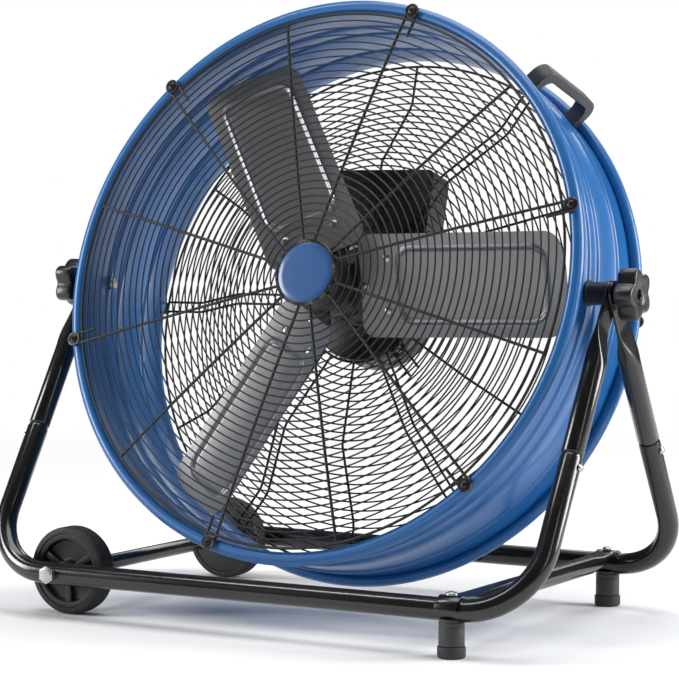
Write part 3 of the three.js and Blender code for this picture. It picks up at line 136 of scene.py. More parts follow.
@dataclass
class Form:
    """A mesh before it becomes an object.

    Attributes:
        points: Corner positions.
        faces: Corner numbers of each face.
        edges: Loose edges, for wires that get their thickness later.
    """

    points: list[Point] = field(default_factory=list)
    faces: list[tuple[int, ...]] = field(default_factory=list)
    edges: list[tuple[int, int]] = field(default_factory=list)

    def __add__(self, other: "Form") -> "Form":
        """Joins two forms into one.

        Args:
            other: The form that comes after this one.

        Returns:
            The joined form.
        """
        n = len(self.points)
        return Form(
            self.points + other.points,
            self.faces + [tuple(i + n for i in f) for f in other.faces],
            self.edges + [(a + n, b + n) for a, b in other.edges],
        )

    def moved(self, place: Matrix) -> "Form":
        """Returns the form put somewhere else.

        Args:
            place: Where the form goes.

        Returns:
            The moved form.
        """
        return Form(
            [tuple(place @ Vector(p)) for p in self.points], self.faces, self.edges
        )

    def around(self, count: int, phase: float = 0.0) -> "Form":
        """Repeats the form about Z.

        Args:
            count: How many there are in a full turn.
            phase: Angle of the first, in degrees.

        Returns:
            All of them.
        """
        whole = Form()
        for k in range(count):
            a = math.radians(phase) + k * math.tau / count
            whole = whole + self.moved(spin(a, "Z"))
        return whole


def level_ring(r: float, height: float, steps: int) -> list[Point]:
    """Points round a level circle."""
    angles = [k * math.tau / steps for k in range(steps)]
    return [(r * math.cos(a), r * math.sin(a), height) for a in angles]


def squared(angle: float, power: float) -> Pair:
    """A point of a unit circle that grows square as the power falls below 1."""
    c, s = math.cos(angle), math.sin(angle)
    return math.copysign(abs(c) ** power, c), math.copysign(abs(s) ** power, s)


def turned(profile: Sequence[Pair], steps: int, ring: bool = False) -> Form:
    """Turns a profile of (radius, height) about Z.

    Args:
        profile: Stations from one end to the other. A radius of 0 closes on the axis.
        steps: Facets in a full turn.
        ring: True where the last station joins the first.

    Returns:
        The turned form.
    """
    form, rows = Form(), []
    for r, h in profile:
        start = len(form.points)
        if r < ON_AXIS:
            rows.append([start] * steps)
            form.points.append((0.0, 0.0, h))
        else:
            rows.append(list(range(start, start + steps)))
            form.points += level_ring(r, h, steps)
    pairs = list(zip(rows, rows[1:])) + ([(rows[-1], rows[0])] if ring else [])
    for low, high in pairs:
        for k in range(steps):
            n = (k + 1) % steps
            face = tuple(dict.fromkeys((low[k], low[n], high[n], high[k])))
            if len(face) > 2:
                form.faces.append(face)
    return form


def lofted(sections: Sequence[Sequence[Point]], caps: bool = True) -> Form:
    """Skins closed sections that all have the same number of points.

    Args:
        sections: The sections in order.
        caps: True where both ends are closed.

    Returns:
        The skinned form.
    """
    n = len(sections[0])
    form = Form([tuple(p) for s in sections for p in s])
    for row in range(len(sections) - 1):
        for i in range(n):
            a, b = row * n + i, row * n + (i + 1) % n
            form.faces.append((a, b, b + n, a + n))
    if caps:
        last = (len(sections) - 1) * n
        form.faces.append(tuple(range(n - 1, -1, -1)))
        form.faces.append(tuple(range(last, last + n)))
    return form


def slab(outline: Sequence[Pair], low: float, high: float) -> Form:
    """Raises a flat outline from one height to another."""
    return lofted([[(x, y, low) for x, y in outline], [(x, y, high) for x, y in outline]])


def rod(r: float, low: float, high: float, steps: int = 32) -> Form:
    """A plain round rod along Z."""
    return turned([(0, low), (r, low), (r, high), (0, high)], steps)


def tube(
    path: Sequence[Vector], r: Callable[[int], float] | float, steps: int, across: Vector
) -> Form:
    """Sweeps a circle along a flat path.

    Args:
        path: Points of the path.
        r: The radius, or a function of the point's number.
        steps: Facets of the circle.
        across: The direction that the path never turns towards.

    Returns:
        The closed tube.
    """
    sections = []
    for i, p in enumerate(path):
        before, after = path[max(i - 1, 0)], path[min(i + 1, len(path) - 1)]
        along = (after - before).normalized()
        side = across.cross(along).normalized()
        radius = r(i) if callable(r) else r
        ring = []
        for k in range(steps):
            a = k * math.tau / steps
            ring.append(tuple(p + radius * (math.cos(a) * side + math.sin(a) * across)))
        sections.append(ring)
    return lofted(sections)


def rounded(width: float, height: float, corner: float, steps: int = 8) -> list[Pair]:
    """The outline of a rectangle with round corners, about the origin.

    Args:
        width: Size along X.
        height: Size along Y.
        corner: Radius of the corners.
        steps: Steps round a corner.

    Returns:
        The outline, anticlockwise.
    """
    points = []
    for k in range(4):
        sx = 1 if k in (0, 3) else -1
        sy = 1 if k < 2 else -1
        for i in range(steps + 1):
            a = (k + i / steps) * math.pi / 2
            x = sx * (width / 2 - corner) + corner * math.cos(a)
            points.append((x, sy * (height / 2 - corner) + corner * math.sin(a)))
    return points


def pan_head(r: float, height: float, seat: float, steps: int = 24) -> Form:
    """A domed screw head with a round recess.

    Args:
        r: The head's radius.
        height: The head's height.
        seat: Where its underside is.
        steps: Facets in a full turn.

    Returns:
        The head.
    """
    dome = [(0.0, seat), (r, seat), (r, seat + height * 0.35)]
    for i in range(1, 6):
        a = i * math.pi / 12
        dome.append((r * (0.55 + 0.45 * math.cos(a * 1.6)), seat + height * (0.35 + 0.13 * i)))
    dome += [(r * 0.3, seat + height), (r * 0.22, seat + height * 0.45), (0.0, seat + height * 0.4)]
    return turned(dome, steps)


def hexagon(across_flats: float, turn: float = 0.0) -> list[Pair]:
    """The outline of a hexagon.

    Args:
        across_flats: Width between opposite sides.
        turn: Angle of the first corner.

    Returns:
        The outline, anticlockwise.
    """
    r = across_flats / 2 / math.cos(math.pi / 6)
    return [
        (r * math.cos(turn + k * math.pi / 3), r * math.sin(turn + k * math.pi / 3))
        for k in range(6)
    ]


# ---------------------------------------------------------------- finishes


def _new_group(name: str, inputs: dict[str, float], outputs: Sequence[str]) -> bpy.types.NodeTree:
    """Starts a shader group whose sockets are all plain values.

    Args:
        name: The group's name.
        inputs: Its inputs with their start values.
        outputs: Its outputs.

    Returns:
        The group's tree.
    """
    tree = bpy.data.node_groups.new(name, "ShaderNodeTree")
    for label, value in inputs.items():
        socket = tree.interface.new_socket(label, in_out="INPUT", socket_type="NodeSocketFloat")
        socket.default_value = value
    for label in outputs:
        tree.interface.new_socket(label, in_out="OUTPUT", socket_type="NodeSocketFloat")
    return tree


def _maths(tree: bpy.types.NodeTree, kind: str, *values: object) -> bpy.types.NodeSocket:
    """Adds a maths node.

    Args:
        tree: Where it goes.
        kind: The operation.
        values: Sockets or numbers for its inputs.

    Returns:
        Its result.
    """
    node = tree.nodes.new("ShaderNodeMath")
    node.operation = kind
    for i, value in enumerate(values):
        if isinstance(value, bpy.types.NodeSocket):
            tree.links.new(value, node.inputs[i])
        else:
            node.inputs[i].default_value = value
    return node.outputs[0]


def _noise(
    tree: bpy.types.NodeTree, scale: object, detail: float, where: object
) -> bpy.types.NodeSocket:
    """Adds a noise texture.

    Args:
        tree: Where it goes.
        scale: Its scale, a socket or a number.
        detail: Its detail.
        where: The coordinates it is read on.

    Returns:
        Its value.
    """
    node = tree.nodes.new("ShaderNodeTexNoise")
    tree.links.new(where, node.inputs["Vector"])
    if isinstance(scale, bpy.types.NodeSocket):
        tree.links.new(scale, node.inputs["Scale"])
    else:
        node.inputs["Scale"].default_value = scale
    node.inputs["Detail"].default_value = detail
    return node.outputs[0]


def _ranged(tree: bpy.types.NodeTree, value: object, *limits: float) -> bpy.types.NodeSocket:
    """Maps a value from one range to another, clamped.

    Args:
        tree: Where the node goes.
        value: What is mapped.
        limits: Start and end of the old range, then of the new one.

    Returns:
        The mapped value.
    """
    node = tree.nodes.new("ShaderNodeMapRange")
    tree.links.new(value, node.inputs[0])
    for i, limit in enumerate(limits):
        node.inputs[i + 1].default_value = limit
    return node.outputs[0]


def surface_grain() -> bpy.types.NodeTree:
    """A shader group that gives fine grain, broad mottling and settled dust.

    Returns:
        The group's tree.
    """
    tree = _new_group(
        "surface_grain", {"Grain Scale": 900.0, "Mottle Scale": 9.0}, ("Grain", "Mottle", "Dust")
    )
    ends = tree.nodes.new("NodeGroupInput"), tree.nodes.new("NodeGroupOutput")
    where = tree.nodes.new("ShaderNodeTexCoord").outputs["Object"]
    grain = _noise(tree, ends[0].outputs["Grain Scale"], 3.0, where)
    mottle = _noise(tree, ends[0].outputs["Mottle Scale"], 5.0, where)
    shape = tree.nodes.new("ShaderNodeNewGeometry")
    split = tree.nodes.new("ShaderNodeSeparateXYZ")
    tree.links.new(shape.outputs["Normal"], split.inputs[0])
    upward = _ranged(tree, split.outputs["Z"], 0.35, 1.0, 0.0, 1.0)
    specks = _ranged(tree, _noise(tree, 60.0, 8.0, where), 0.42, 0.7, 0.0, 1.0)
    tree.links.new(grain, ends[1].inputs["Grain"])
    tree.links.new(mottle, ends[1].inputs["Mottle"])
    tree.links.new(_maths(tree, "MULTIPLY", upward, specks), ends[1].inputs["Dust"])
    return tree


def edge_wear() -> bpy.types.NodeTree:
    """A shader group that gives a mask of rubbed edges.

    Returns:
        The group's tree.
    """
    tree = _new_group("edge_wear", {"Amount": 0.5, "Breakup": 120.0}, ("Mask",))
    ends = tree.nodes.new("NodeGroupInput"), tree.nodes.new("NodeGroupOutput")
    where = tree.nodes.new("ShaderNodeTexCoord").outputs["Object"]
    shape = tree.nodes.new("ShaderNodeNewGeometry")
    edge = _ranged(tree, shape.outputs["Pointiness"], 0.52, 0.6, 0.0, 1.0)
    rough = _ranged(tree, _noise(tree, ends[0].outputs["Breakup"], 6.0, where), 0.5, 0.7, 0.0, 1.0)
    worn = _maths(
        tree, "MULTIPLY", _maths(tree, "MULTIPLY", edge, rough), ends[0].outputs["Amount"]
    )
    tree.links.new(worn, ends[1].inputs["Mask"])
    return tree


@dataclass(frozen=True)
class Finish:
    """One procedural finish.

    Attributes:
        name: The material's name.
        base: Main colour, linear.
        second: Colour that the mottling drifts towards.
        roughness: Roughness at its middle.
        spread: How far mottling and grain move the roughness.
        metallic: How metallic the surface is.
        coat: Weight of the clear top coat.
        grain: Grain scale, per metre.
        mottle: Mottling scale, per metre.
        bump: Bump height in metres.
        wear: Strength of the rubbed edges.
        worn: Colour where the edges are rubbed.
        dust: Strength of settled dust.
        slot: The record's slot, where it has another name.
    """

    name: str
    base: Point
    second: Point
    roughness: float
    spread: float = 0.08
    metallic: float = 0.0
    coat: float = 0.0
    grain: float = 900.0
    mottle: float = 9.0
    bump: float = 0.00003
    wear: float = 0.3
    worn: Point = (0.3, 0.3, 0.3)
    dust: float = 0.06
    slot: str = ""

    def build(self, grain: bpy.types.NodeTree, wear: bpy.types.NodeTree) -> bpy.types.Material:
        """Builds the material.

        Args:
            grain: The shared surface grain group.
            wear: The shared edge wear group.

        Returns:
            The finished material.
        """
        material = bpy.data.materials.new(self.name)
        material.use_nodes = True
        tree = material.node_tree
        nodes, links = tree.nodes, tree.links
        shader = nodes["Principled BSDF"]
        surface = nodes.new("ShaderNodeGroup")
        surface.node_tree = grain
        surface.inputs["Grain Scale"].default_value = self.grain
        surface.inputs["Mottle Scale"].default_value = self.mottle
        rubbed = nodes.new("ShaderNodeGroup")
        rubbed.node_tree = wear
        rubbed.inputs["Amount"].default_value = self.wear

        def blended(share: object, a: object, b: object) -> bpy.types.NodeSocket:
            """Mixes two colours.

            Args:
                share: How far the mix goes towards the second.
                a: The first colour.
                b: The second colour.

            Returns:
                The mixed colour.
            """
            mix = nodes.new("ShaderNodeMix")
            mix.data_type = "RGBA"
            links.new(share, mix.inputs[0])
            for socket, value in ((mix.inputs[6], a), (mix.inputs[7], b)):
                if isinstance(value, bpy.types.NodeSocket):
                    links.new(value, socket)
                else:
                    socket.default_value = (*value, 1.0)
            return mix.outputs[2]

        drift = _ranged(tree, surface.outputs["Mottle"], 0.35, 0.65, 0.0, 1.0)
        colour = blended(drift, self.base, self.second)
        colour = blended(rubbed.outputs["Mask"], colour, self.worn)
        dusty = _maths(tree, "MULTIPLY", surface.outputs["Dust"], self.dust)
        links.new(blended(dusty, colour, DUST_COLOUR), shader.inputs["Base Color"])
        both = _maths(tree, "ADD", surface.outputs["Mottle"], surface.outputs["Grain"])
        rough = _ranged(
            tree, both, 0.7, 1.3, self.roughness - self.spread, self.roughness + self.spread
        )
        links.new(
            _maths(tree, "ADD", rough, _maths(tree, "MULTIPLY", dusty, 2.0)),
            shader.inputs["Roughness"]
        )
        shader.inputs["Metallic"].default_value = self.metallic
        shader.inputs["Coat Weight"].default_value = self.coat
        shader.inputs["Coat Roughness"].default_value = COAT_ROUGHNESS
        bump = nodes.new("ShaderNodeBump")
        bump.inputs["Distance"].default_value = self.bump
        links.new(surface.outputs["Grain"], bump.inputs["Height"])
        links.new(bump.outputs[0], shader.inputs["Normal"])
        return material


FINISHES = (
    Finish(
        "blue_enamel", (0.007, 0.108, 0.335), (0.009, 0.117, 0.355), 0.36, 0.04, coat=0.3,
        grain=260.0, mottle=5.0, bump=0.00003, wear=0.15, worn=(0.12, 0.25, 0.5), dust=0.015
    ),
    Finish(
        "black_tube", (0.004, 0.004, 0.0045), (0.006, 0.006, 0.0065), 0.22, 0.04, coat=0.35,
        grain=500.0, bump=0.00002, wear=0.12, dust=0.01
    ),
    Finish(
        "black_wire", (0.002, 0.002, 0.0023), (0.004, 0.004, 0.0042), 0.5, 0.08, coat=0.0,
        grain=1400.0, wear=0.03, dust=0.01
    ),
    Finish(
        "blade_grey", (0.24, 0.243, 0.248), (0.27, 0.272, 0.276), 0.33, 0.05, metallic=0.55,
        grain=1800.0, mottle=7.0, wear=0.35, worn=(0.55, 0.55, 0.55), dust=0.03
    ),
    Finish("hub_enamel", (0.012, 0.012, 0.013), (0.02, 0.02, 0.021), 0.36, 0.08, coat=0.2),
    Finish(
        "motor_enamel", (0.009, 0.009, 0.01), (0.014, 0.014, 0.015), 0.42, 0.08, grain=1200.0,
        bump=0.00008
    ),
    Finish(
        "box_enamel", (0.008, 0.008, 0.009), (0.012, 0.012, 0.013), 0.38, 0.06, coat=0.2,
        grain=1500.0, bump=0.00008
    ),
    Finish("stator_steel", (0.16, 0.15, 0.14), (0.25, 0.2, 0.15), 0.5, 0.1, metallic=0.8),
    Finish("bearing_steel", (0.5, 0.5, 0.5), (0.42, 0.42, 0.42), 0.25, 0.06, metallic=1.0),
    Finish(
        "zinc_hardware", (0.55, 0.56, 0.57), (0.42, 0.43, 0.45), 0.28, 0.08, metallic=1.0,
        mottle=60.0, worn=(0.8, 0.8, 0.8)
    ),
    Finish(
        "black_hardware", (0.01, 0.01, 0.01), (0.018, 0.018, 0.018), 0.3, 0.08, metallic=0.3,
        mottle=60.0, worn=(0.35, 0.35, 0.35), wear=0.6
    ),
    Finish(
        "grey_plastic", (0.026, 0.027, 0.030), (0.033, 0.034, 0.037), 0.5, 0.08, grain=2200.0,
        bump=0.0001, worn=(0.14, 0.14, 0.15)
    ),
    Finish(
        "knob_plastic", (0.006, 0.006, 0.0075), (0.009, 0.009, 0.011), 0.34, 0.06, coat=0.15,
        grain=2200.0, bump=0.00006, worn=(0.1, 0.1, 0.11), dust=0.01, slot="grey_plastic"
    ),
    Finish(
        "badge_blue", (0.016, 0.076, 0.235), (0.018, 0.082, 0.25), 0.32, 0.05, coat=0.3, wear=0.1
    ),
    Finish(
        "wheel_plastic", (0.005, 0.005, 0.0055), (0.009, 0.009, 0.0095), 0.46, 0.08, grain=1600.0,
        bump=0.00006, worn=(0.08, 0.08, 0.08)
    ),
    Finish(
        "tyre", (0.004, 0.004, 0.0045), (0.008, 0.008, 0.008), 0.62, 0.1, grain=2400.0,
        bump=0.0001, worn=(0.07, 0.07, 0.07), dust=0.08
    ),
    Finish(
        "foot_rubber", (0.02, 0.02, 0.021), (0.028, 0.028, 0.029), 0.6, 0.1, grain=2400.0,
        bump=0.0001, worn=(0.1, 0.1, 0.1), dust=0.1
    ),
    Finish("dial_marks", (0.75, 0.75, 0.73), (0.68, 0.68, 0.66), 0.5, 0.06)
)


# ---------------------------------------------------------------- geometry trees


class Tree:
    """A geometry tree under construction."""

    def __init__(self, name: str, inputs: Sequence[tuple[str, str, object]]) -> None:
        """Starts a tree with its named inputs.

        Args:
            name: The tree's name.
            inputs: Name, socket kind and start value of each input.
        """
        self.tree = bpy.data.node_groups.new(name, "GeometryNodeTree")
        face = self.tree.interface
        face.new_socket("Geometry", in_out="INPUT", socket_type="NodeSocketGeometry")
        for label, kind, value in inputs:
            socket = face.new_socket(label, in_out="INPUT", socket_type=f"NodeSocket{kind}")
            if value is not None:
                socket.default_value = value
        face.new_socket("Geometry", in_out="OUTPUT", socket_type="NodeSocketGeometry")
        self.source = self.tree.nodes.new("NodeGroupInput").outputs
        self.sink = self.tree.nodes.new("NodeGroupOutput").inputs

    def node(
        self, kind: str, *, pick: int | str = 0, settings: dict[str, object] | None = None,
        **values: object
    ) -> bpy.types.NodeSocket:
        """Adds a node and returns one of its outputs.

        Args:
            kind: The node's type without its prefix, or in full for a shader node.
            pick: The output that is wanted.
            settings: Properties of the node.
            values: Inputs by name, with spaces as underscores, or by number as n0, n1.

        Returns:
            The picked output.
        """
        name = kind if kind.startswith("ShaderNode") else f"GeometryNode{kind}"
        node = self.tree.nodes.new(name)
        for key, value in (settings or {}).items():
            setattr(node, key, value)
        for key, value in values.items():
            numbered = key[0] == "n" and key[1:].isdigit()
            socket = node.inputs[int(key[1:]) if numbered else key.replace("_", " ")]
            if isinstance(value, bpy.types.NodeSocket):
                self.tree.links.new(value, socket)
            else:
                socket.default_value = value
        return node.outputs[pick]

    def sums(self, kind: str, *values: object) -> bpy.types.NodeSocket:
        """Adds a maths node.

        Args:
            kind: The operation.
            values: Sockets or numbers for its inputs.

        Returns:
            Its result.
        """
        return self.node(
            "ShaderNodeMath", settings={"operation": kind},
            **{f"n{i}": v for i, v in enumerate(values)}
        )

    def close(self, geometry: bpy.types.NodeSocket) -> bpy.types.NodeTree:
        """Ends the tree with real geometry in its finish.

        Args:
            geometry: What the tree has made.

        Returns:
            The tree.
        """
        real = self.node("RealizeInstances", Geometry=geometry)
        painted = self.node("SetMaterial", Geometry=real, Material=self.source["Finish"])
        self.tree.links.new(painted, self.sink[0])
        return self.tree


DISH_INPUTS = (
    ("Dish Inner", "Float", 42.0),
    ("Dish Outer", "Float", 315.0),
    ("Inner Depth", "Float", 69.5),
    ("Outer Depth", "Float", 58.7),
    ("Power", "Float", 2.2),
    ("Rim", "Float", 320.0),
    ("Edge", "Float", 321.0),
    ("Rim Drop", "Float", 0.0),
    ("Lift", "Float", 0.0),
    ("Wire", "Float", 1.0),
    ("Finish", "Material", None),
)


def dished(t: Tree, geometry: bpy.types.NodeSocket) -> bpy.types.NodeSocket:
    """Moves flat geometry to the dish's depth at its radius.

    Args:
        t: The tree, with the dish's inputs.
        geometry: What is moved.

    Returns:
        The moved geometry.
    """
    where = t.node("InputPosition")
    r = t.node("ShaderNodeVectorMath", pick="Value", settings={"operation": "LENGTH"}, n0=where)
    share = t.node("ShaderNodeMapRange", n0=r, n1=t.source["Dish Inner"], n2=t.source["Dish Outer"])
    share = t.sums("POWER", share, t.source["Power"])
    fall = t.sums("SUBTRACT", t.source["Outer Depth"], t.source["Inner Depth"])
    depth = t.sums("MULTIPLY_ADD", share, fall, t.source["Inner Depth"])
    past = t.node("ShaderNodeMapRange", n0=r, n1=t.source["Rim"], n2=t.source["Edge"])
    depth = t.sums("MULTIPLY_ADD", past, t.source["Rim Drop"], depth)
    depth = t.sums("ADD", depth, t.source["Lift"])
    fall = t.node("ShaderNodeCombineXYZ", Z=depth)
    return t.node("SetPosition", Geometry=geometry, Offset=fall)


def wired(t: Tree, curve: bpy.types.NodeSocket, steps: int) -> bpy.types.NodeSocket:
    """Gives curves the wire's round section.

    Args:
        t: The tree, with the wire's radius.
        curve: The curves.
        steps: Facets of the section.

    Returns:
        The wires.
    """
    section = t.node("CurvePrimitiveCircle", Resolution=steps, Radius=t.source["Wire"])
    return t.node("CurveToMesh", Curve=curve, Profile_Curve=section, Fill_Caps=True)


def ring_stack_tree() -> bpy.types.NodeTree:
    """A tree for concentric wire rings on a dish.

    Returns:
        The tree.
    """
    t = Tree(
        "ring_stack",
        (
            ("First", "Float", 46.0), ("Last", "Float", 308.0), ("Count", "Int", 30),
            ("Facets", "Int", 144), *DISH_INPUTS
        )
    )
    points = t.node("Points", Count=t.source["Count"])
    last = t.sums("MAXIMUM", t.sums("SUBTRACT", t.source["Count"], 1.0), 1.0)
    share = t.sums("DIVIDE", t.node("InputIndex"), last)
    r = t.sums(
        "MULTIPLY_ADD", share, t.sums("SUBTRACT", t.source["Last"], t.source["First"]),
        t.source["First"]
    )
    size = t.node("ShaderNodeCombineXYZ", X=r, Y=r, Z=1.0)
    circle = t.node("CurvePrimitiveCircle", Resolution=t.source["Facets"], Radius=1.0)
    rings = t.node("InstanceOnPoints", Points=points, Instance=circle, Scale=size)
    real = t.node("RealizeInstances", Geometry=rings)
    return t.close(wired(t, dished(t, real), 8))


def round_the_axis(t: Tree, geometry: bpy.types.NodeSocket) -> bpy.types.NodeSocket:
    """Repeats geometry about Z by the Count and Phase inputs.

    Args:
        t: The tree.
        geometry: What is repeated.

    Returns:
        The repeats, as instances.
    """
    points = t.node("Points", Count=t.source["Count"])
    step = t.sums("DIVIDE", math.tau, t.source["Count"])
    angle = t.sums("MULTIPLY_ADD", t.node("InputIndex"), step, t.sums("RADIANS", t.source["Phase"]))
    turn = t.node("ShaderNodeCombineXYZ", Z=angle)
    return t.node("InstanceOnPoints", Points=points, Instance=geometry, Rotation=turn)


def rod_star_tree() -> bpy.types.NodeTree:
    """A tree that turns drawn edges into wires and repeats them about the axis on a dish.

    Returns:
        The tree.
    """
    t = Tree("rod_star", (("Count", "Int", 6), ("Phase", "Float", 0.0), *DISH_INPUTS))
    curve = t.node("MeshToCurve", Mesh=t.source["Geometry"])
    real = t.node("RealizeInstances", Geometry=round_the_axis(t, curve))
    return t.close(wired(t, dished(t, real), 10))


def repeat_tree() -> bpy.types.NodeTree:
    """A tree that repeats a solid about the axis."""
    t = Tree("repeat", (("Count", "Int", 6), ("Phase", "Float", 0.0), ("Finish", "Material", None)))
    return t.close(round_the_axis(t, t.source["Geometry"]))


@dataclass
class Trees:
    """The geometry trees that several classes share."""

    rings: bpy.types.NodeTree
    rods: bpy.types.NodeTree
    repeat: bpy.types.NodeTree

    @classmethod
    def build(cls) -> "Trees":
        """Builds all trees."""
        return cls(ring_stack_tree(), rod_star_tree(), repeat_tree())


# ---------------------------------------------------------------- workshop


def soften(work: bmesh.types.BMesh, width: float, steps: int) -> None:
    """Rounds a mesh's sharp edges.

    Args:
        work: The mesh at work.
        width: Width of the rounding.
        steps: Segments across it.
    """
    sharp = [e for e in work.edges if e.is_manifold and e.calc_face_angle(0) > SHARP]
    bmesh.ops.bevel(
        work, geom=sharp, offset=width, segments=steps, profile=0.6, affect="EDGES",
        clamp_overlap=True
    )


class Workshop:
    """Turns forms into finished pieces of the part.

    Attributes:
        trees: The shared geometry trees.
        materials: The finishes by name.
        slots: The record's slot of each finish that has one.
    """

    def __init__(self, frame: dict) -> None:
        """Builds all finishes and trees.
        """
        self.frame = frame
        self.trees = Trees.build()
        grain, wear = surface_grain(), edge_wear()
        self.materials = {f.name: f.build(grain, wear) for f in FINISHES}
        self.slots = {f.name: f.slot or f.name for f in FINISHES if f.name != "dial_marks"}

    def mesh(self, form: Form, name: str, bevel: float = 0.0, steps: int = 2) -> bpy.types.Mesh:
        """Makes a clean mesh of a form.

        Args:
            form: The form.
            name: The mesh's name.
            bevel: Width of the rounding along sharp edges, in the form's units.
            steps: Segments across that rounding.

        Returns:
            The mesh, with its faces outwards.
        """
        mesh = bpy.data.meshes.new(name)
        mesh.from_pydata(form.points, form.edges, form.faces)
        work = bmesh.new()
        work.from_mesh(mesh)
        bmesh.ops.remove_doubles(work, verts=work.verts, dist=MERGE)
        if form.faces:
            bmesh.ops.recalc_face_normals(work, faces=work.faces)
        if bevel:
            soften(work, bevel, steps)
        work.to_mesh(mesh)
        work.free()
        return mesh

    def add(
        self,
        name: str,
        form: Form | bpy.types.Mesh,
        finish: str,
        body: str,
        nodes: Sequence[str] = (),
        place: Matrix = METRES,
        bevel: float = 0.0,
        steps: int = 2,
        sharp: float = 32.0,
    ) -> bpy.types.Object:
        """Finishes a piece and puts it on its body.

        Args:
            name: The piece's name.
            form: Its form in millimetres, or a mesh that is ready.
            finish: The finish, which is also the material slot.
            body: The body that it rides on.
            nodes: The nodes that it stands for.
            place: From the form's own space to the frame, in metres.
            bevel: Rounding of sharp edges, in millimetres.
            steps: Segments across the rounding.
            sharp: Edges turn smoothly up to this angle, in degrees.

        Returns:
            The new object.
        """
        mesh = self.mesh(form, name, bevel, steps) if isinstance(form, Form) else form
        mesh.transform(place)
        if place.determinant() < 0:
            mesh.flip_normals()
        mesh.shade_smooth()
        mesh.set_sharp_from_angle(angle=math.radians(sharp))
        mesh.materials.clear()
        mesh.materials.append(self.materials[finish])
        piece = bpy.data.objects.new(name, mesh)
        bpy.context.scene.collection.objects.link(piece)
        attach(piece, body)
        if nodes:
            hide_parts(*nodes)
        log.info("%s on %s, %d faces", name, body, len(mesh.polygons))
        return piece

    def copied(
        self, node: str, finish: str, body: str, bevel: float, sharp: float = 32.0
    ) -> bpy.types.Object:
        """Stands a bevelled copy in for a node.

        Args:
            node: The node's name.
            finish: The finish.
            body: The body that it rides on.
            bevel: Rounding in millimetres.
            sharp: Edges turn smoothly up to this angle, in degrees.

        Returns:
            The new object.
        """
        mesh = self.frame["nodes"][node].data
        raw = bpy.data.meshes.new(node)
        points = [tuple(v.co * 1000) for v in mesh.vertices]
        raw.from_pydata(points, [], [tuple(p.vertices) for p in mesh.polygons])
        work = bmesh.new()
        work.from_mesh(raw)
        bmesh.ops.remove_doubles(work, verts=work.verts, dist=0.01)
        bmesh.ops.dissolve_limit(
            work, angle_limit=math.radians(1), verts=work.verts, edges=work.edges
        )
        soften(work, bevel, 2)
        bmesh.ops.recalc_face_normals(work, faces=work.faces)
        work.to_mesh(raw)
        work.free()
        return self.add(f"{node}_skin", raw, finish, body, (node,), sharp=sharp)

    def dress(self, node: str, finish: str) -> None:
        """Gives a node that stays as it is a finish.

        Args:
            node: The node's name.
            finish: The finish.
        """
        mesh = self.frame["nodes"][node].data
        mesh.materials.clear()
        mesh.materials.append(self.materials[finish])

    def baked(
        self, tree: bpy.types.NodeTree, values: dict[str, object], form: Form | None = None
    ) -> bpy.types.Mesh:
        """Runs a geometry tree and keeps its result as a plain mesh.

        Args:
            tree: The tree.
            values: Its named inputs.
            form: What goes in, where the tree takes geometry.

        Returns:
            The plain mesh.
        """
        start = self.mesh(form or Form([(0, 0, 0)]), "start")
        carrier = bpy.data.objects.new("carrier", start)
        bpy.context.scene.collection.objects.link(carrier)
        modifier = carrier.modifiers.new("shape", "NODES")
        modifier.node_group = tree
        for item in tree.interface.items_tree:
            if item.item_type == "SOCKET" and item.in_out == "INPUT" and item.name in values:
                modifier[item.identifier] = values[item.name]
        graph = bpy.context.evaluated_depsgraph_get()
        mesh = bpy.data.meshes.new_from_object(carrier.evaluated_get(graph))
        carrier.modifiers.clear()
        bpy.data.objects.remove(carrier)
        return mesh

    def repeated(
        self,
        name: str,
        form: Form,
        finish: str,
        body: str,
        count: int,
        phase: float = 0.0,
        nodes: Sequence[str] = (),
    ) -> None:
        """Repeats a form about the drum's axis, as one piece.

        Args:
            name: The piece's name.
            form: The first of them.
            finish: The finish.
            body: The body that it rides on.
            count: How many there are in a full turn.
            phase: Angle of the first, in degrees.
            nodes: The nodes that it stands for.
        """
        values = {"Count": count, "Phase": phase, "Finish": self.materials[finish]}
        self.add(name, self.baked(self.trees.repeat, values, form), finish, body, nodes, FACE)


@dataclass
class Assembly:
    """A sub-assembly of the fan. Its sizes are its fields.

    Attributes:
        shop: Where its pieces are finished.
    """

    shop: Workshop

    def build(self) -> None:
        """Builds its pieces and puts each on its body."""
        raise NotImplementedError


def joined(name: str, *meshes: bpy.types.Mesh) -> bpy.types.Mesh:
    """Joins meshes into one.

    Args:
        name: The new mesh's name.
        meshes: What is joined, and then removed.

    Returns:
        The whole.
    """
    work = bmesh.new()
    for mesh in meshes:
        work.from_mesh(mesh)
        bpy.data.meshes.remove(mesh)
    whole = bpy.data.meshes.new(name)
    work.to_mesh(whole)
    work.free()
    return whole


def drawn(path: Sequence[Pair]) -> Form:
    """A flat line of edges."""
    return Form([(x, y, 0.0) for x, y in path], [], [(i, i + 1) for i in range(len(path) - 1)])


def straight(inner: float, outer: float, y: float = 0.0) -> list[Pair]:
    """A wire that runs straight out along X."""
    return [(inner + (outer - inner) * i / WIRE_STEPS, y) for i in range(WIRE_STEPS + 1)]


def hairpin(inner: float, screw: float, back: float, half: float) -> list[Pair]:
    """A wire that runs out along X, turns round a screw and comes back.

    Args:
        inner: Where the long leg starts.
        screw: Where the screw is.
        back: Where the short leg ends.
        half: Half the distance between the legs. A negative one puts the long leg below.

    Returns:
        The wire's path.
    """
    path = straight(inner, screw, half)
    for i in range(1, 13):
        a = math.pi / 2 - i * math.pi / 12
        path.append((screw + abs(half) * math.cos(a), half * math.sin(a)))
    legs = max(2, round((screw - back) / 8))
    path += [(screw + (back - screw) * i / legs, -half) for i in range(1, legs + 1)]
    return path


# ---------------------------------------------------------------- drum


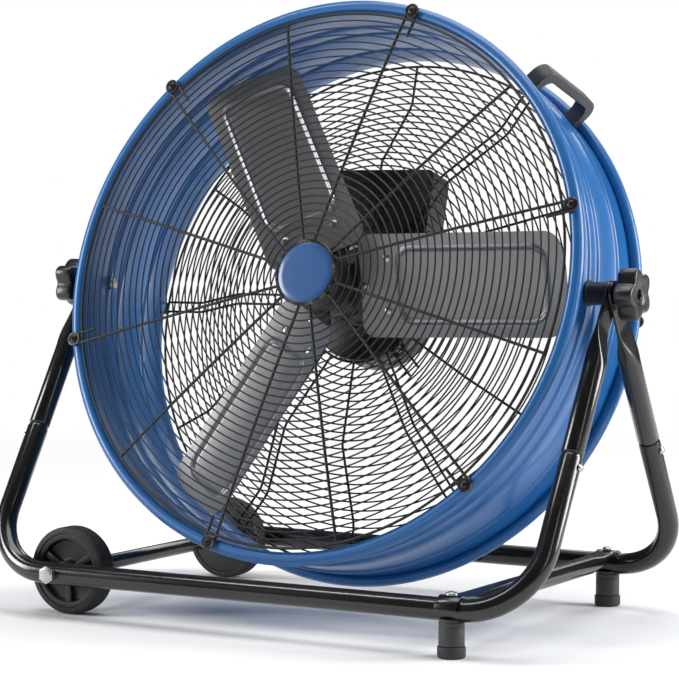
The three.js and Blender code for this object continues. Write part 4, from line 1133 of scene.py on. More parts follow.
@dataclass
class Drum(Assembly):
    """The rolled sheet drum."""

    front_bead: float = 8.0
    rear_bead: float = 7.0
    front: float = 48.8
    rear: float = -123.5
    ribs: tuple[float, ...] = (4.0, -21.0, -78.0)
    rib_width: float = 10.0
    rib_height: float = 3.0
    facets: int = 288

    def bead(self, size: float, depth: float, way: int) -> list[Pair]:
        """The rolled edge, from the inside round to the outside.

        Args:
            size: The roll's radius.
            depth: Where the roll's middle is.
            way: 1 for the front edge, -1 for the rear one.

        Returns:
            Its profile.
        """
        r, end = DRUM_R + size, math.tau - math.acos((size - SHEET) / size)
        return [
            (r - size * math.cos(end * i / 24), depth + way * size * math.sin(end * i / 24))
            for i in range(25)
        ]

    def wall(self, offset: float) -> list[Pair]:
        """The sheet's face from front to rear, with its swaged ribs.

        Args:
            offset: How far the face is outside the drum's inside.

        Returns:
            Its profile.
        """
        points = []
        for rib in self.ribs:
            for i in range(11):
                x = i / 5 - 1
                rise = self.rib_height * (0.5 + 0.5 * math.cos(math.pi * x)) ** 0.8
                points.append((DRUM_R + offset + rise, rib - x * self.rib_width / 2))
        return points

    def build(self) -> None:
        """Builds the shell."""
        outside = self.bead(self.front_bead, self.front, 1) + self.wall(SHEET)
        inside = self.bead(self.rear_bead, self.rear, -1)[::-1] + self.wall(0.0)[::-1]
        shell = turned(outside + inside, self.facets, ring=True)
        self.shop.add("drum_skin", shell, "blue_enamel", "drum", ("drum_shell",), FACE, sharp=50)


@dataclass
class Guard(Assembly):
    """What both wire guards are made with."""

    def ring_set(
        self, dish: dict[str, object], first: float, last: float, count: int, facets: int
    ) -> bpy.types.Mesh:
        """Concentric rings on a dish.

        Args:
            dish: The dish's and the wire's inputs.
            first: Radius of the smallest ring.
            last: Radius of the largest ring.
            count: How many there are.
            facets: Straight steps in a ring.

        Returns:
            Their mesh.
        """
        sizes = {"First": first, "Last": last, "Count": count, "Facets": facets}
        return self.shop.baked(self.shop.trees.rings, {**dish, **sizes})

    def rod_set(
        self, dish: dict[str, object], count: int, phase: float, path: Sequence[Pair]
    ) -> bpy.types.Mesh:
        """Equal wires that stand round the axis on a dish.

        Args:
            dish: The dish's and the wire's inputs.
            count: How many there are.
            phase: Angle of the first, in degrees.
            path: The first one's path, flat.

        Returns:
            Their mesh.
        """
        sizes = {"Count": count, "Phase": phase}
        return self.shop.baked(self.shop.trees.rods, {**dish, **sizes}, drawn(path))


@dataclass
class FrontGuard(Guard):
    """The domed front guard with its clips and badge."""

    hub: float = 42.0
    rim: float = 317.0
    rings: int = 30
    ring_wire: float = 1.0
    spoke_wire: float = 1.75
    rim_depth: float = 58.7
    rise: float = 10.8
    power: float = 2.2
    clips: int = 6
    phase: float = 15.0
    screw: float = 328.0
    half_loop: float = 6.25
    short_leg: float = 297.0
    badge: float = 39.5
    badge_rim: float = 3.8
    badge_back: float = 71.4
    hub_wire: float = 36.5

    def dish(self, wire: float, lift: float) -> dict[str, object]:
        """The dish's inputs for one size of wire.

        Args:
            wire: The wire's radius.
            lift: How far its middle lies off the dish.

        Returns:
            The inputs by name.
        """
        return {
            "Dish Inner": self.hub,
            "Dish Outer": self.rim - self.spoke_wire,
            "Inner Depth": self.rim_depth + self.rise,
            "Outer Depth": self.rim_depth,
            "Power": self.power,
            "Lift": lift,
            "Wire": wire,
            "Finish": self.shop.materials["black_wire"],
        }

    def build(self) -> None:
        """Builds the guard, clips and badge."""
        pitch = (self.rim - self.hub) / (self.rings + 0.6)
        thin = self.dish(self.ring_wire, 0.9)
        thick = self.dish(self.spoke_wire, -0.1)
        rings = self.ring_set(thin, self.hub + pitch * 0.6, self.rim - pitch, self.rings, 144)
        rim = self.ring_set(thick, self.rim, self.rim, 1, 180)
        hub = self.ring_set(thick, self.hub_wire, self.hub_wire, 1, 64)
        loop = hairpin(self.hub_wire, self.screw, self.short_leg, self.half_loop)
        looped = self.rod_set(thick, self.clips, self.phase, loop)
        spoke = straight(self.hub_wire, self.rim)
        plain = self.rod_set(thick, self.clips, self.phase + 180 / self.clips, spoke)
        net = joined("front_guard", rings, rim, hub, looped, plain)
        self.shop.add("front_guard", net, "black_wire", "drum", ("front_grille",), FACE, sharp=60)
        self.fasten()
        self.dress_badge()

    def fasten(self) -> None:
        """Adds the clips, each a dished washer under a screw."""
        seat = self.rim_depth + self.spoke_wire
        washer = turned(
            [
                (2.2, seat), (8.5, seat), (8.5, seat + 0.9), (7.9, seat + 1.5), (6.2, seat + 1.5),
                (5.4, seat + 1.0), (2.2, seat + 1.0)
            ],
            40, ring=True
        )
        screw = pan_head(4.7, 2.7, seat + 1.0) + rod(2.4, 57.2, seat + 0.4, 16)
        clip = (washer + screw).moved(shift(self.screw, 0, 0))
        names = [f"clip_{k + 1}" for k in range(self.clips)]
        self.shop.repeated(
            "guard_clips", clip, "black_hardware", "drum", self.clips, self.phase, names
        )

    def dress_badge(self) -> None:
        """Adds the bare badge."""
        b, r, back = self.badge_rim, self.badge, self.badge_back
        ring = turned(
            [
                (0, back), (r, back), (r, back + 1.7), (r - 0.9, back + 2.6),
                (r - b + 0.6, back + 2.6), (r - b, back + 2.1), (r - b, back + 0.8),
                (0, back + 0.8)
            ],
            96
        )
        self.shop.add("badge_surround", ring, "black_hardware", "drum", ("badge_ring",), FACE)
        inner = r - b - 0.3
        plate = [(0, back + 1.1)] + [
            (inner, back + 1.1), (inner, back + 1.9), (inner - 0.5, back + 2.2)
        ]
        plate += [
            (inner * s, back + 2.2 + 0.25 * (1 - s * s)) for s in (0.8, 0.6, 0.4, 0.2)
        ] + [(0, back + 2.45)]
        self.shop.add("badge_plate", turned(plate, 96), "badge_blue", "drum", ("badge_disc",), FACE)


@dataclass
class RearGuard(Guard):
    """The rear guard, dished inwards to the motor."""

    hub: float = 74.0
    rim: float = 312.0
    rings: int = 24
    inner_flat: float = 174.0
    outer_flat: float = 262.0
    inner_depth: float = -67.0
    outer_depth: float = -121.5
    edge_depth: float = -132.3
    screw: float = 327.0
    pairs: float = 6.0
    stub_half: float = 7.0
    stub_end: float = 117.0
    lug: float = 80.0

    def build(self) -> None:
        """Builds the guard and the screws on the rear bead."""
        dish = {
            "Dish Inner": self.inner_flat,
            "Dish Outer": self.outer_flat,
            "Inner Depth": self.inner_depth,
            "Outer Depth": self.outer_depth,
            "Power": 1.0,
            "Rim": self.rim + 1.5,
            "Edge": DRUM_R,
            "Rim Drop": self.edge_depth - self.outer_depth,
            "Finish": self.shop.materials["black_wire"],
        }
        thin = {**dish, "Wire": 1.0, "Lift": 0.5}
        thick = {**dish, "Wire": 1.5, "Lift": 0.0}
        pitch = (self.rim - self.hub) / (self.rings + 1)
        rings = self.ring_set(thin, self.hub + pitch, self.rim - pitch, self.rings, 144)
        ends = self.ring_set(thick, self.hub, self.rim, 2, 160)
        singles = self.rod_set(thick, 6, 30.0, straight(self.hub, self.rim))
        paired = self.rod_set(thick, 6, 0.0, hairpin(self.hub, self.screw, self.hub, self.pairs))
        stub = [
            (-x, y) for x, y in hairpin(-self.stub_end, -self.lug, -self.stub_end, self.stub_half)
        ]
        stubs = self.rod_set(thick, 4, 45.0, stub)
        net = joined("rear_guard", rings, ends, singles, paired, stubs)
        self.shop.add("rear_guard", net, "black_wire", "drum", ("rear_grille",), FACE, sharp=60)
        low = self.edge_depth - 1.5
        screw = turned(
            [
                (0, low + 3.5), (2.4, low + 3.5), (2.4, low), (7.5, low), (7.5, low - 1.1),
                (4.4, low - 1.1), (3.4, low - 2.9), (0, low - 3.3)
            ],
            24
        )
        screw = screw.moved(shift(self.screw, 0, 0))
        self.shop.repeated("rear_guard_screws", screw, "black_hardware", "drum", 6)


# ---------------------------------------------------------------- motor and switch box


@dataclass
class Motor(Assembly):
    """The motor behind the rear guard's inner flat."""

    r: float = 71.0
    front: float = -68.8
    split: float = -105.0
    back: float = -141.0
    lug_r: float = 80.0
    wall: float = 3.5
    rise: float = 13.0
    fins: int = 28
    inside: tuple[tuple[str, str], ...] = (
        ("stator", "stator_steel"),
        ("front_bearing", "bearing_steel"),
        ("rear_bearing", "bearing_steel"),
        ("rotor", "bearing_steel"),
        ("capacitor", "grey_plastic"),
        ("rotary_switch", "grey_plastic"),
    )

    def build(self) -> None:
        """Builds both shells, the fins, the lugs and their bolts."""
        f, s, b, r = self.front, self.split, self.back, self.r
        inner = r - self.wall
        front = turned(
            [
                (6.6, f), (24, f), (26, f - 1.2), (30, f - 1.2), (32, f), (r - 3, f),
                (r - 0.9, f - 0.9), (r, f - 3), (r, s + 2.5), (r - 0.6, s + 0.2), (inner, s + 0.2),
                (inner, f - 3.5), (16, f - 3.5), (6.6, f - 3.5)
            ],
            96, ring=True
        )
        end = [
            (9 * math.sin(a), -9 * math.cos(a)) for a in [k * math.pi / 12 for k in range(1, 12)]
        ]
        lug = slab([(-14, -9), (0, -9)] + end + [(0, 9), (-14, 9)], f - 5, f)
        lugs = lug.moved(shift(self.lug_r, 0, 0)).around(4, 45)
        self.shop.add(
            "motor_front", front + lugs, "motor_enamel", "drum", ("motor_front_shell",), FACE,
            bevel=0.35
        )
        rear = turned(
            [
                (0, b), (12, b), (14, b + 1.4), (18, b + 1.4), (20, b), (40, b), (47, b + 1.2),
                (r - 9, b + self.rise / 2), (r - 2.5, b + self.rise - 2), (r, b + self.rise + 2),
                (r, s - 2.5), (r - 0.6, s - 0.2), (inner, s - 0.2), (inner, b + 14), (40, b + 3.5),
                (0, b + 3.5)
            ],
            96
        )
        self.shop.add(
            "motor_rear", rear, "motor_enamel", "drum", ("motor_rear_shell",), FACE, bevel=0.3
        )
        vent = slab(rounded(15, 3.2, 1.5, 5), b, b + 1.5).moved(shift(33, 0, -0.7))
        self.shop.repeated("motor_louvres", vent, "motor_enamel", "drum", 12)
        fin = slab(rounded(2.6, 1.8, 0.7, 3), s + 4, f - 5).moved(shift(r + 0.7, 0, 0))
        self.shop.repeated(
            "motor_fins", fin, "motor_enamel", "drum", self.fins, 360 / self.fins / 2
        )
        bolt = pan_head(5.2, 3.2, f, 20) + rod(3.0, f - 8, f + 0.2, 16)
        bolt = (bolt + slab(hexagon(9.0), f - 9.5, f - 5.2)).moved(shift(self.lug_r, 0, 0))
        self.shop.repeated("motor_bolts", bolt, "zinc_hardware", "drum", 4, 45.0)
        for node, finish in self.inside:
            self.shop.dress(node, finish)


@dataclass
class SwitchBox(Assembly):
    """The switch box above the motor, with its speed dial."""

    width: float = 140.0
    height: float = 94.0
    middle: float = 118.3
    front: float = -72.0
    back: float = -112.0
    lid_back: float = -114.3
    knob_r: float = 16.0
    knob_end: float = -129.9
    steps: tuple[str, ...] = ("0", "1", "2", "3")

    def build(self) -> None:
        """Builds the box, its lid and what sits on the lid."""
        up = shift(0, self.middle, 0)
        outline = rounded(self.width, self.height, 8)
        inner = rounded(self.width - 4, self.height - 4, 6)
        levels = ((inner, self.back), (outline, self.back), (outline, self.front))
        shell = lofted([[(x, y, z) for x, y in line] for line, z in levels], caps=False)
        n = len(outline)
        shell.faces.append(tuple(range(2 * n, 3 * n)))
        depths = (self.back, self.front - 2)
        cavity = lofted([[(x, y, z) for x, y in inner] for z in depths], caps=False)
        cavity.faces.append(tuple(range(2 * n - 1, n - 1, -1)))
        self.shop.add(
            "switch_box", (shell + cavity).moved(up), "box_enamel", "drum", ("control_box",), FACE,
            bevel=0.7, steps=3
        )
        self.shop.copied("control_box_lid", "box_enamel", "drum", 0.5)
        screw = pan_head(3.4, 1.9, 0, 20).moved(spin(math.pi, "X"))
        screws = Form()
        for x, y in ((-1, -1), (-1, 1), (1, -1), (1, 1)):
            to_x, to_y = x * (self.width / 2 - 8), self.middle + y * (self.height / 2 - 8)
            screws = screws + screw.moved(shift(to_x, to_y, self.lid_back))
        self.shop.add("lid_screws", screws, "zinc_hardware", "drum", (), FACE)
        self.add_dial()
        gland = Form()
        for low, high, r in ((-114.6, -119.5, 9.0), (-119.5, -121.0, 8.0), (-121.0, -130.6, 7.4)):
            gland = gland + turned([(4.6, low), (r, low), (r, high), (4.6, high)], 24, ring=True)
        bore = turned([(4.6, -126), (8.1, -126), (8.1, -121.6), (4.6, -121.6)], 24, ring=True)
        self.shop.add(
            "gland_body", (gland + bore).moved(shift(-46, 94.8, 0)), "wheel_plastic", "drum",
            ("cord_gland",), FACE, bevel=0.3
        )

    def add_dial(self) -> None:
        """Adds the speed knob and the marks around it."""
        low, high = self.lid_back - 0.6, self.knob_end + 3
        sections = []
        full = self.knob_r
        for r, h in (
            (full, low), (full, low - 2), (full - 1.6, low - 2.6), (full * 0.8, high),
            (full * 0.74, high - 0.8)
        ):
            ring = []
            for k in range(96):
                a = k * math.tau / 96
                flute = 0.45 * math.cos(a * 24) if r < full else 0.0
                ring.append(((r + flute) * math.cos(a), (r + flute) * math.sin(a), h))
            sections.append(ring)
        knob = lofted(sections)
        bar = slab(rounded(5, 24, 2.2, 5), self.knob_end, high + 0.5)
        up = shift(0, self.middle, 0)
        self.shop.add(
            "speed_dial_knob", (knob + bar).moved(up), "wheel_plastic", "speed_dial",
            ("speed_knob",), FACE, bevel=0.3
        )
        pointer = slab(
            [(-0.6, 3), (0.6, 3), (0.6, 11), (-0.6, 11)], self.knob_end - 0.05, self.knob_end + 0.2
        )
        self.shop.add("speed_dial_pointer", pointer.moved(up), "dial_marks", "speed_dial", (), FACE)
        tick = slab(
            [(20, -0.5), (24, -0.5), (24, 0.5), (20, 0.5)], self.lid_back - 0.12,
            self.lid_back + 0.05
        )
        angles = [math.pi / 2 + math.radians(90 * k) for k in range(len(self.steps))]
        marks = Form()
        for a in angles:
            marks = marks + tick.moved(up @ spin(a, "Z"))
        self.shop.add("dial_scale", marks, "dial_marks", "drum", (), FACE)
        for a, word in zip(angles, self.steps):
            curve = bpy.data.curves.new("digit", "FONT")
            curve.body, curve.size, curve.extrude = word, 8.0, 0.06
            curve.align_x, curve.align_y = "CENTER", "CENTER"
            carrier = bpy.data.objects.new("digit", curve)
            bpy.context.scene.collection.objects.link(carrier)
            graph = bpy.context.evaluated_depsgraph_get()
            mesh = bpy.data.meshes.new_from_object(carrier.evaluated_get(graph))
            bpy.data.objects.remove(carrier)
            at = shift(30 * math.cos(a), self.middle + 30 * math.sin(a), self.lid_back - 0.06)
            flip = spin(math.pi, "Y")
            self.shop.add(f"dial_digit_{word}", mesh, "dial_marks", "drum", (), FACE @ at @ flip)


# ---------------------------------------------------------------- fan


@dataclass
class Fan(Assembly):
    """The three pressed blades on their hub."""

    count: int = 3
    phase: float = 1.5
    pitch: float = math.radians(21.4)
    tip: float = 300.0
    root: float = 40.0
    chord: float = 120.0
    sheet: float = 1.6
    camber: float = 5.0
    corner: float = 18.0
    depth: float = 10.0
    press_in: float = 91.5
    press_out: float = 277.0
    press_width: float = 85.0
    press_corner: float = 16.0
    bead: float = 8.0
    bead_height: float = 3.0
    hub_r: float = 34.0
    rivets: tuple[Pair, ...] = ((46.0, 0.0), (74.0, -30.0), (76.0, 31.0))

    def on_blade(self, along: float, across: float, out: float) -> Point:
        """A point over the pitched and cambered blade.

        Args:
            along: Distance from the axis, along the blade.
            across: Distance from the blade's middle line.
            out: Height over the blade's front.

        Returns:
            The point, with depth as its Z.
        """
        bow = self.camber * (across / (self.chord / 2)) ** 2 + out
        depth = self.depth + across * math.sin(self.pitch) + bow * math.cos(self.pitch)
        return (along, across * math.cos(self.pitch) - bow * math.sin(self.pitch), depth)

    def pressed(self, r: float, across: float) -> float:
        """Height of the pressed bead at a place on the blade.

        Args:
            r: Distance from the axis.
            across: Distance from the blade's middle line.

        Returns:
            The height.
        """
        mid, half = (self.press_in + self.press_out) / 2, (self.press_out - self.press_in) / 2
        dx = abs(r - mid) - (half - self.press_corner)
        dy = abs(across) - (self.press_width / 2 - self.press_corner)
        away = math.hypot(max(dx, 0), max(dy, 0)) + min(max(dx, dy), 0) - self.press_corner
        share = min(abs(away) / (self.bead / 2), 1.0)
        return self.bead_height * (0.5 + 0.5 * math.cos(math.pi * share))

    def blade(self) -> Form:
        """One blade, a sheet with its edges closed.

        Returns:
            The blade, along X.
        """
        columns, rows = 76, 150
        form = Form()
        for face in (0.0, -self.sheet):
            for j in range(rows + 1):
                r = self.root + (self.tip - self.root) * j / rows
                near = min(r - self.root, self.tip - r, self.corner)
                narrow = self.corner - math.sqrt(self.corner**2 - (self.corner - near) ** 2)
                for i in range(columns + 1):
                    flat = (i / columns - 0.5) * self.chord
                    across = flat * (1 - narrow / (self.chord / 2))
                    share = ((r - self.root) / (self.tip - self.root)) ** 2
                    along = r - share * (r - math.sqrt(max(0.0, r * r - across * across)))
                    form.points.append(self.on_blade(along, across, self.pressed(r, flat) + face))
        n, back = columns + 1, (columns + 1) * (rows + 1)
        for j in range(rows):
            for i in range(columns):
                a = j * n + i
                form.faces.append((a, a + 1, a + n + 1, a + n))
                form.faces.append((a + back, a + n + back, a + n + 1 + back, a + 1 + back))
        rim = list(range(n)) + [j * n + columns for j in range(1, rows + 1)]
        rim += [
            rows * n + i for i in range(columns - 1, -1, -1)
        ] + [j * n for j in range(rows - 1, 0, -1)]
        for k, a in enumerate(rim):
            b = rim[(k + 1) % len(rim)]
            form.faces.append((b, a, a + back, b + back))
        return form

    def build(self) -> None:
        """Builds the blades, their rivets and the hub."""
        blade = self.blade()
        for k in range(self.count):
            a = math.radians(self.phase + 360 * k / self.count)
            place = FACE @ spin(a, "Z")
            self.shop.add(
                f"blade_sheet_{k + 1}", blade, "blade_grey", "fan", (f"blade_{k + 1}",), place,
                sharp=40
            )
        self.add_rivets()
        self.add_hub()

    def add_rivets(self) -> None:
        """Adds the rivets that hold the blades on the spider."""
        head = turned(
            [
                (0, -2.2), (2.6, -2.2), (2.6, -0.1), (5.0, -0.1), (5.0, 0.5), (4.4, 1.5),
                (2.6, 2.3), (0, 2.6)
            ],
            20
        )
        rivets = Form()
        for along, across in self.rivets:
            at = shift(*self.on_blade(along, across, 0.0))
            rivets = rivets + head.moved(at @ spin(self.pitch, "X"))
        self.shop.repeated("blade_rivets", rivets, "zinc_hardware", "fan", self.count, self.phase)

    def add_hub(self) -> None:
        """Adds the sleeve and its three arms."""
        r = self.hub_r
        sleeve = turned(
            [
                (0, 28), (8, 28), (9, 26.8), (14, 26.8), (15, 28), (r - 4, 28), (r - 1.2, 26.9),
                (r, 24), (r, -20), (6.3, -20), (6.3, 24.5), (0, 24.5)
            ],
            72
        )
        back = -self.sheet - GAP
        arms = Form()
        rows = ((24.0, 0.45), (36.0, 0.85), (44.0, 1.0), (80.0, 1.0), (86.0, 0.9), (88.0, 0.8))
        for k in range(self.count):
            sections = []
            for along, wide in rows:
                half = 41.0 * wide
                top = [self.on_blade(along, -half + half * i / 6, back) for i in range(13)]
                low = [self.on_blade(along, half - half * i / 6, back - 3.0) for i in range(13)]
                sections.append(top + low)
            turn = spin(math.radians(self.phase + 360 * k / self.count), "Z")
            arms = arms + lofted(sections).moved(turn)
        self.shop.add(
            "hub_spider", sleeve + arms, "hub_enamel", "fan", ("fan_hub",), FACE, bevel=0.4
        )


# ---------------------------------------------------------------- handle and pivots


@dataclass
class Handle(Assembly):
    """The carrying handle across the drum."""

    angle: float = 46.3
    front: float = 23.0
    back: float = -113.0
    height: float = 36.5
    bar: float = 11.0
    foot: float = 13.0
    width: float = 20.0
    corner: float = 18.0

    def outline(self) -> list[Pair]:
        """The handle's side view as (outwards, depth).

        Returns:
            Its outline.
        """
        top, low, c = DRUM_R + SHEET + self.height, DRUM_R + SHEET + 0.4, self.corner
        inner = c - self.bar / 2
        points: list[Pair] = [(low, self.back)]

        def arc(x: float, y: float, r: float, start: float, way: int) -> None:
            """Adds a quarter turn of points.

            Args:
                x: Its middle's depth.
                y: Its middle's distance outwards.
                r: Its radius.
                start: Its first angle.
                way: 1 or -1, the way it turns.
            """
            for i in range(9):
                a = start + way * i / 8 * math.pi / 2
                points.append((y + r * math.sin(a), x + r * math.cos(a)))

        arc(self.back + c, top - c, c, math.pi, -1)
        arc(self.front - c, top - c, c, math.pi / 2, -1)
        points += [(low, self.front), (low, self.front - self.foot)]
        arc(self.front - self.foot - inner, top - self.bar - inner, inner, 0.0, 1)
        arc(self.back + self.foot + inner, top - self.bar - inner, inner, math.pi / 2, 1)
        points.append((low, self.back + self.foot))
        return points

    def build(self) -> None:
        """Builds the handle and the screws inside the drum."""
        shape = slab(self.outline(), -self.width / 2, self.width / 2)
        turn = spin(math.radians(self.angle), "Z") @ spin(QUARTER, "X")
        self.shop.add(
            "carry_handle", shape, "grey_plastic", "drum", ("handle",), FACE @ turn, bevel=1.8,
            steps=4, sharp=45
        )
        for name in ("front_handle_screw", "rear_handle_screw"):
            self.shop.copied(name, "zinc_hardware", "drum", 0.4)


@dataclass
class Pivot(Assembly):
    """The bolt, spacer and star knob at one end of the tilt axis."""

    end: End
    spacer: float = 14.5
    tongue: float = 348.1
    star_inner: float = 355.85
    stem: float = 8.0
    star: float = 30.0
    dip: float = 8.0
    bowl: float = 13.0
    lobes: int = 5
    facets: int = 160
    thick: float = 22.0

    @property
    def place(self) -> Matrix:
        """From Z along the axis, outwards, to the frame.

        Returns:
            The place of this end.
        """
        turn = 0.0 if self.end is End.RIGHT else math.pi
        tilted = METRES @ shift(0, 0, PIVOT_HEIGHT) @ spin(-TILT, "X")
        return tilted @ spin(turn, "Y") @ spin(QUARTER, "Y")

    def star_ring(self, inset: float, height: float, rounder: float = 0.0) -> list[Point]:
        """The knob's outline at a height.

        Args:
            inset: How far it is drawn in.
            height: Its height.
            rounder: How far it has faded into its bowl's circle, up to 1.

        Returns:
            Its points.
        """
        ring = []
        for k in range(self.facets):
            a = k * math.tau / self.facets
            wave = 0.5 + 0.5 * math.cos(self.lobes * a)
            r = self.star - self.dip * (1 - wave**0.8) - inset
            r += rounder * (self.bowl - r)
            ring.append((r * math.cos(a), r * math.sin(a), height))
        return ring

    def build(self) -> None:
        """Builds the spacer, the knob and the bolt."""
        word = self.end.word
        start = DRUM_R + SHEET + GAP
        s = self.spacer
        spacer = turned(
            [
                (5.4, start), (s, start), (s, start + 3), (s - 1.5, start + 4),
                (s - 1.5, self.tongue - 3.5), (s, self.tongue - 2.5), (s, self.tongue),
                (5.4, self.tongue)
            ],
            64, ring=True
        )
        self.shop.add(
            f"{word}_spacer", spacer, "wheel_plastic", "drum", (f"{word}_pivot_spacer",),
            self.place, bevel=0.4
        )
        low, face = self.star_inner + self.stem, self.star_inner + self.stem + self.thick
        rounding = [(3.2, 0.0), (1.6, 0.5), (0.5, 1.8), (0.0, 3.4)]
        sections = [self.star_ring(i, low + h) for i, h in rounding]
        sections += [self.star_ring(i, face - h) for i, h in rounding[::-1]]
        sections += [
            self.star_ring(4.2, face - 0.5 * t * t, t) for t in (0.15, 0.35, 0.55, 0.75, 0.9)
        ]
        bowl = [
            (self.bowl, face - 0.6), (self.bowl - 0.5, face - 1.0), (self.bowl - 1.2, face - 1.6),
            (8.0, face - 1.8), (6.2, face - 2.2), (5.4, face - 4), (5.4, face - 13.5)
        ]
        knob = lofted(sections + [level_ring(r, h, self.facets) for r, h in bowl])
        stem = turned(
            [
                (5.4, self.star_inner), (11.2, self.star_inner), (12, self.star_inner + 0.8),
                (12, low + 0.5), (5.4, low + 0.5)
            ],
            48, ring=True
        )
        self.shop.add(
            f"{word}_knob_body", knob + stem, "knob_plastic", f"{word}_knob",
            (f"{word}_star_knob",), self.place, sharp=48
        )
        self.shop.copied(f"{word}_pivot_bolt", "zinc_hardware", "drum", 0.5)


# ---------------------------------------------------------------- stand


@dataclass
class TubeFrame(Assembly):
    """One long side of the stand: the bent base tube and its two legs."""

    side: Side
    bend: float = 80.0
    seam: float = 186.5
    bolt_drop: float = 12.5
    flatten_from: float = 292.0
    flatten_to: float = 346.0
    tongue: float = 3.4
    tongue_r: float = 15.0

    @property
    def place(self) -> Matrix:
        """From upright, with Z up the slope, to the frame.

        Returns:
            The place of this side.
        """
        s = self.side.value
        return METRES @ shift(0, s * RAIL_Y, RAIL_Z) @ spin(s * LEAN, "X")

    def base(self) -> Form:
        """The base tube along its path.

        Returns:
            The tube, upright.
        """
        path: list[Vector] = [Vector((-LEG_X, 0, self.seam)), Vector((-LEG_X, 0, self.seam - 3))]
        radii = [TUBE_R - 0.8, TUBE_R]
        bend = LEG_X - self.bend
        for cx, start in ((-bend, math.pi), (bend, 1.5 * math.pi)):
            for i in range(17):
                a = start + i / 16 * math.pi / 2
                path.append(
                    Vector((cx + self.bend * math.cos(a), 0, self.bend + self.bend * math.sin(a)))
                )
                radii.append(TUBE_R)
        path += [Vector((LEG_X, 0, self.seam - 3)), Vector((LEG_X, 0, self.seam))]
        radii += [TUBE_R, TUBE_R - 0.8]
        return tube(path, lambda i: radii[i], 32, Vector((0, 1, 0)))

    def leg(self, end: End) -> Form:
        """A leg from its crimp to its flat tongue.

        Args:
            end: Which end of the stand it is at.

        Returns:
            The leg, upright.
        """
        x0 = end.value * LEG_X
        step = (self.tongue + GAP) / 2 * (-1 if self.side is Side.FRONT else 1)
        x1 = end.value * (LEG_X + step)
        sections: list[list[Point]] = []

        def station(s: float, wide: float, thick: float, x: float, square: float) -> None:
            """Adds a section up the slope.

            Args:
                s: How far up it is.
                wide: Half its width.
                thick: Half its thickness.
                x: Its middle.
                square: How square it is, up to 1.
            """
            ring, power = [], 2 / (2 + square * 8)
            for k in range(40):
                c, t = squared((k + 0.5) * math.tau / 40, power)
                ring.append((x + c * thick, t * wide, s))
            sections.append(ring)

        r, flat = TUBE_R, self.tongue / 2
        inside = r - 2.0
        for s, q in (
            (self.seam - 30, inside), (self.seam + 0.5, inside), (self.seam + 1.6, inside),
            (self.seam + 2.2, r - 0.9), (self.seam + 3.6, r)
        ):
            station(s, q, q, x0, 0.0)
        station(self.flatten_from, r, r, x0, 0.0)
        for i in range(1, 13):
            t = i / 12
            e = t * t * (3 - 2 * t)
            s = self.flatten_from + (self.flatten_to - self.flatten_from) * t
            wide = r + (self.tongue_r - r) * e
            station(s, wide, r + (flat - r) * e, x0 + (x1 - x0) * e, e * 0.9)
        for i in range(0, 9):
            a = i / 8 * math.pi / 2 * 0.96
            wide = self.tongue_r * math.cos(a)
            station(SLOPE + self.tongue_r * math.sin(a), wide, flat, x1, 1.0)
        return lofted(sections)

    def build(self) -> None:
        """Builds the tube, the legs and their bolts."""
        word = self.side.word
        self.shop.add(
            f"{word}_rail", self.base(), "black_tube", "stand", (f"{word}_base_tube",), self.place,
            sharp=40
        )
        for end in End:
            self.shop.add(
                f"{word}_{end.word}_upright", self.leg(end), "black_tube", "stand",
                (f"{word}_{end.word}_leg",), self.place, sharp=40
            )
            head = pan_head(4.6, 3.4, TUBE_R + 0.2, 20) + rod(2.9, 6.0, TUBE_R + 0.6, 16)
            at = shift(end.value * LEG_X, 0, self.seam - self.bolt_drop)
            turn = at @ spin(end.value * QUARTER, "Y")
            self.shop.add(
                f"{word}_{end.word}_screw", head, "zinc_hardware", "stand",
                (f"{word}_{end.word}_leg_bolt",), self.place @ turn
            )


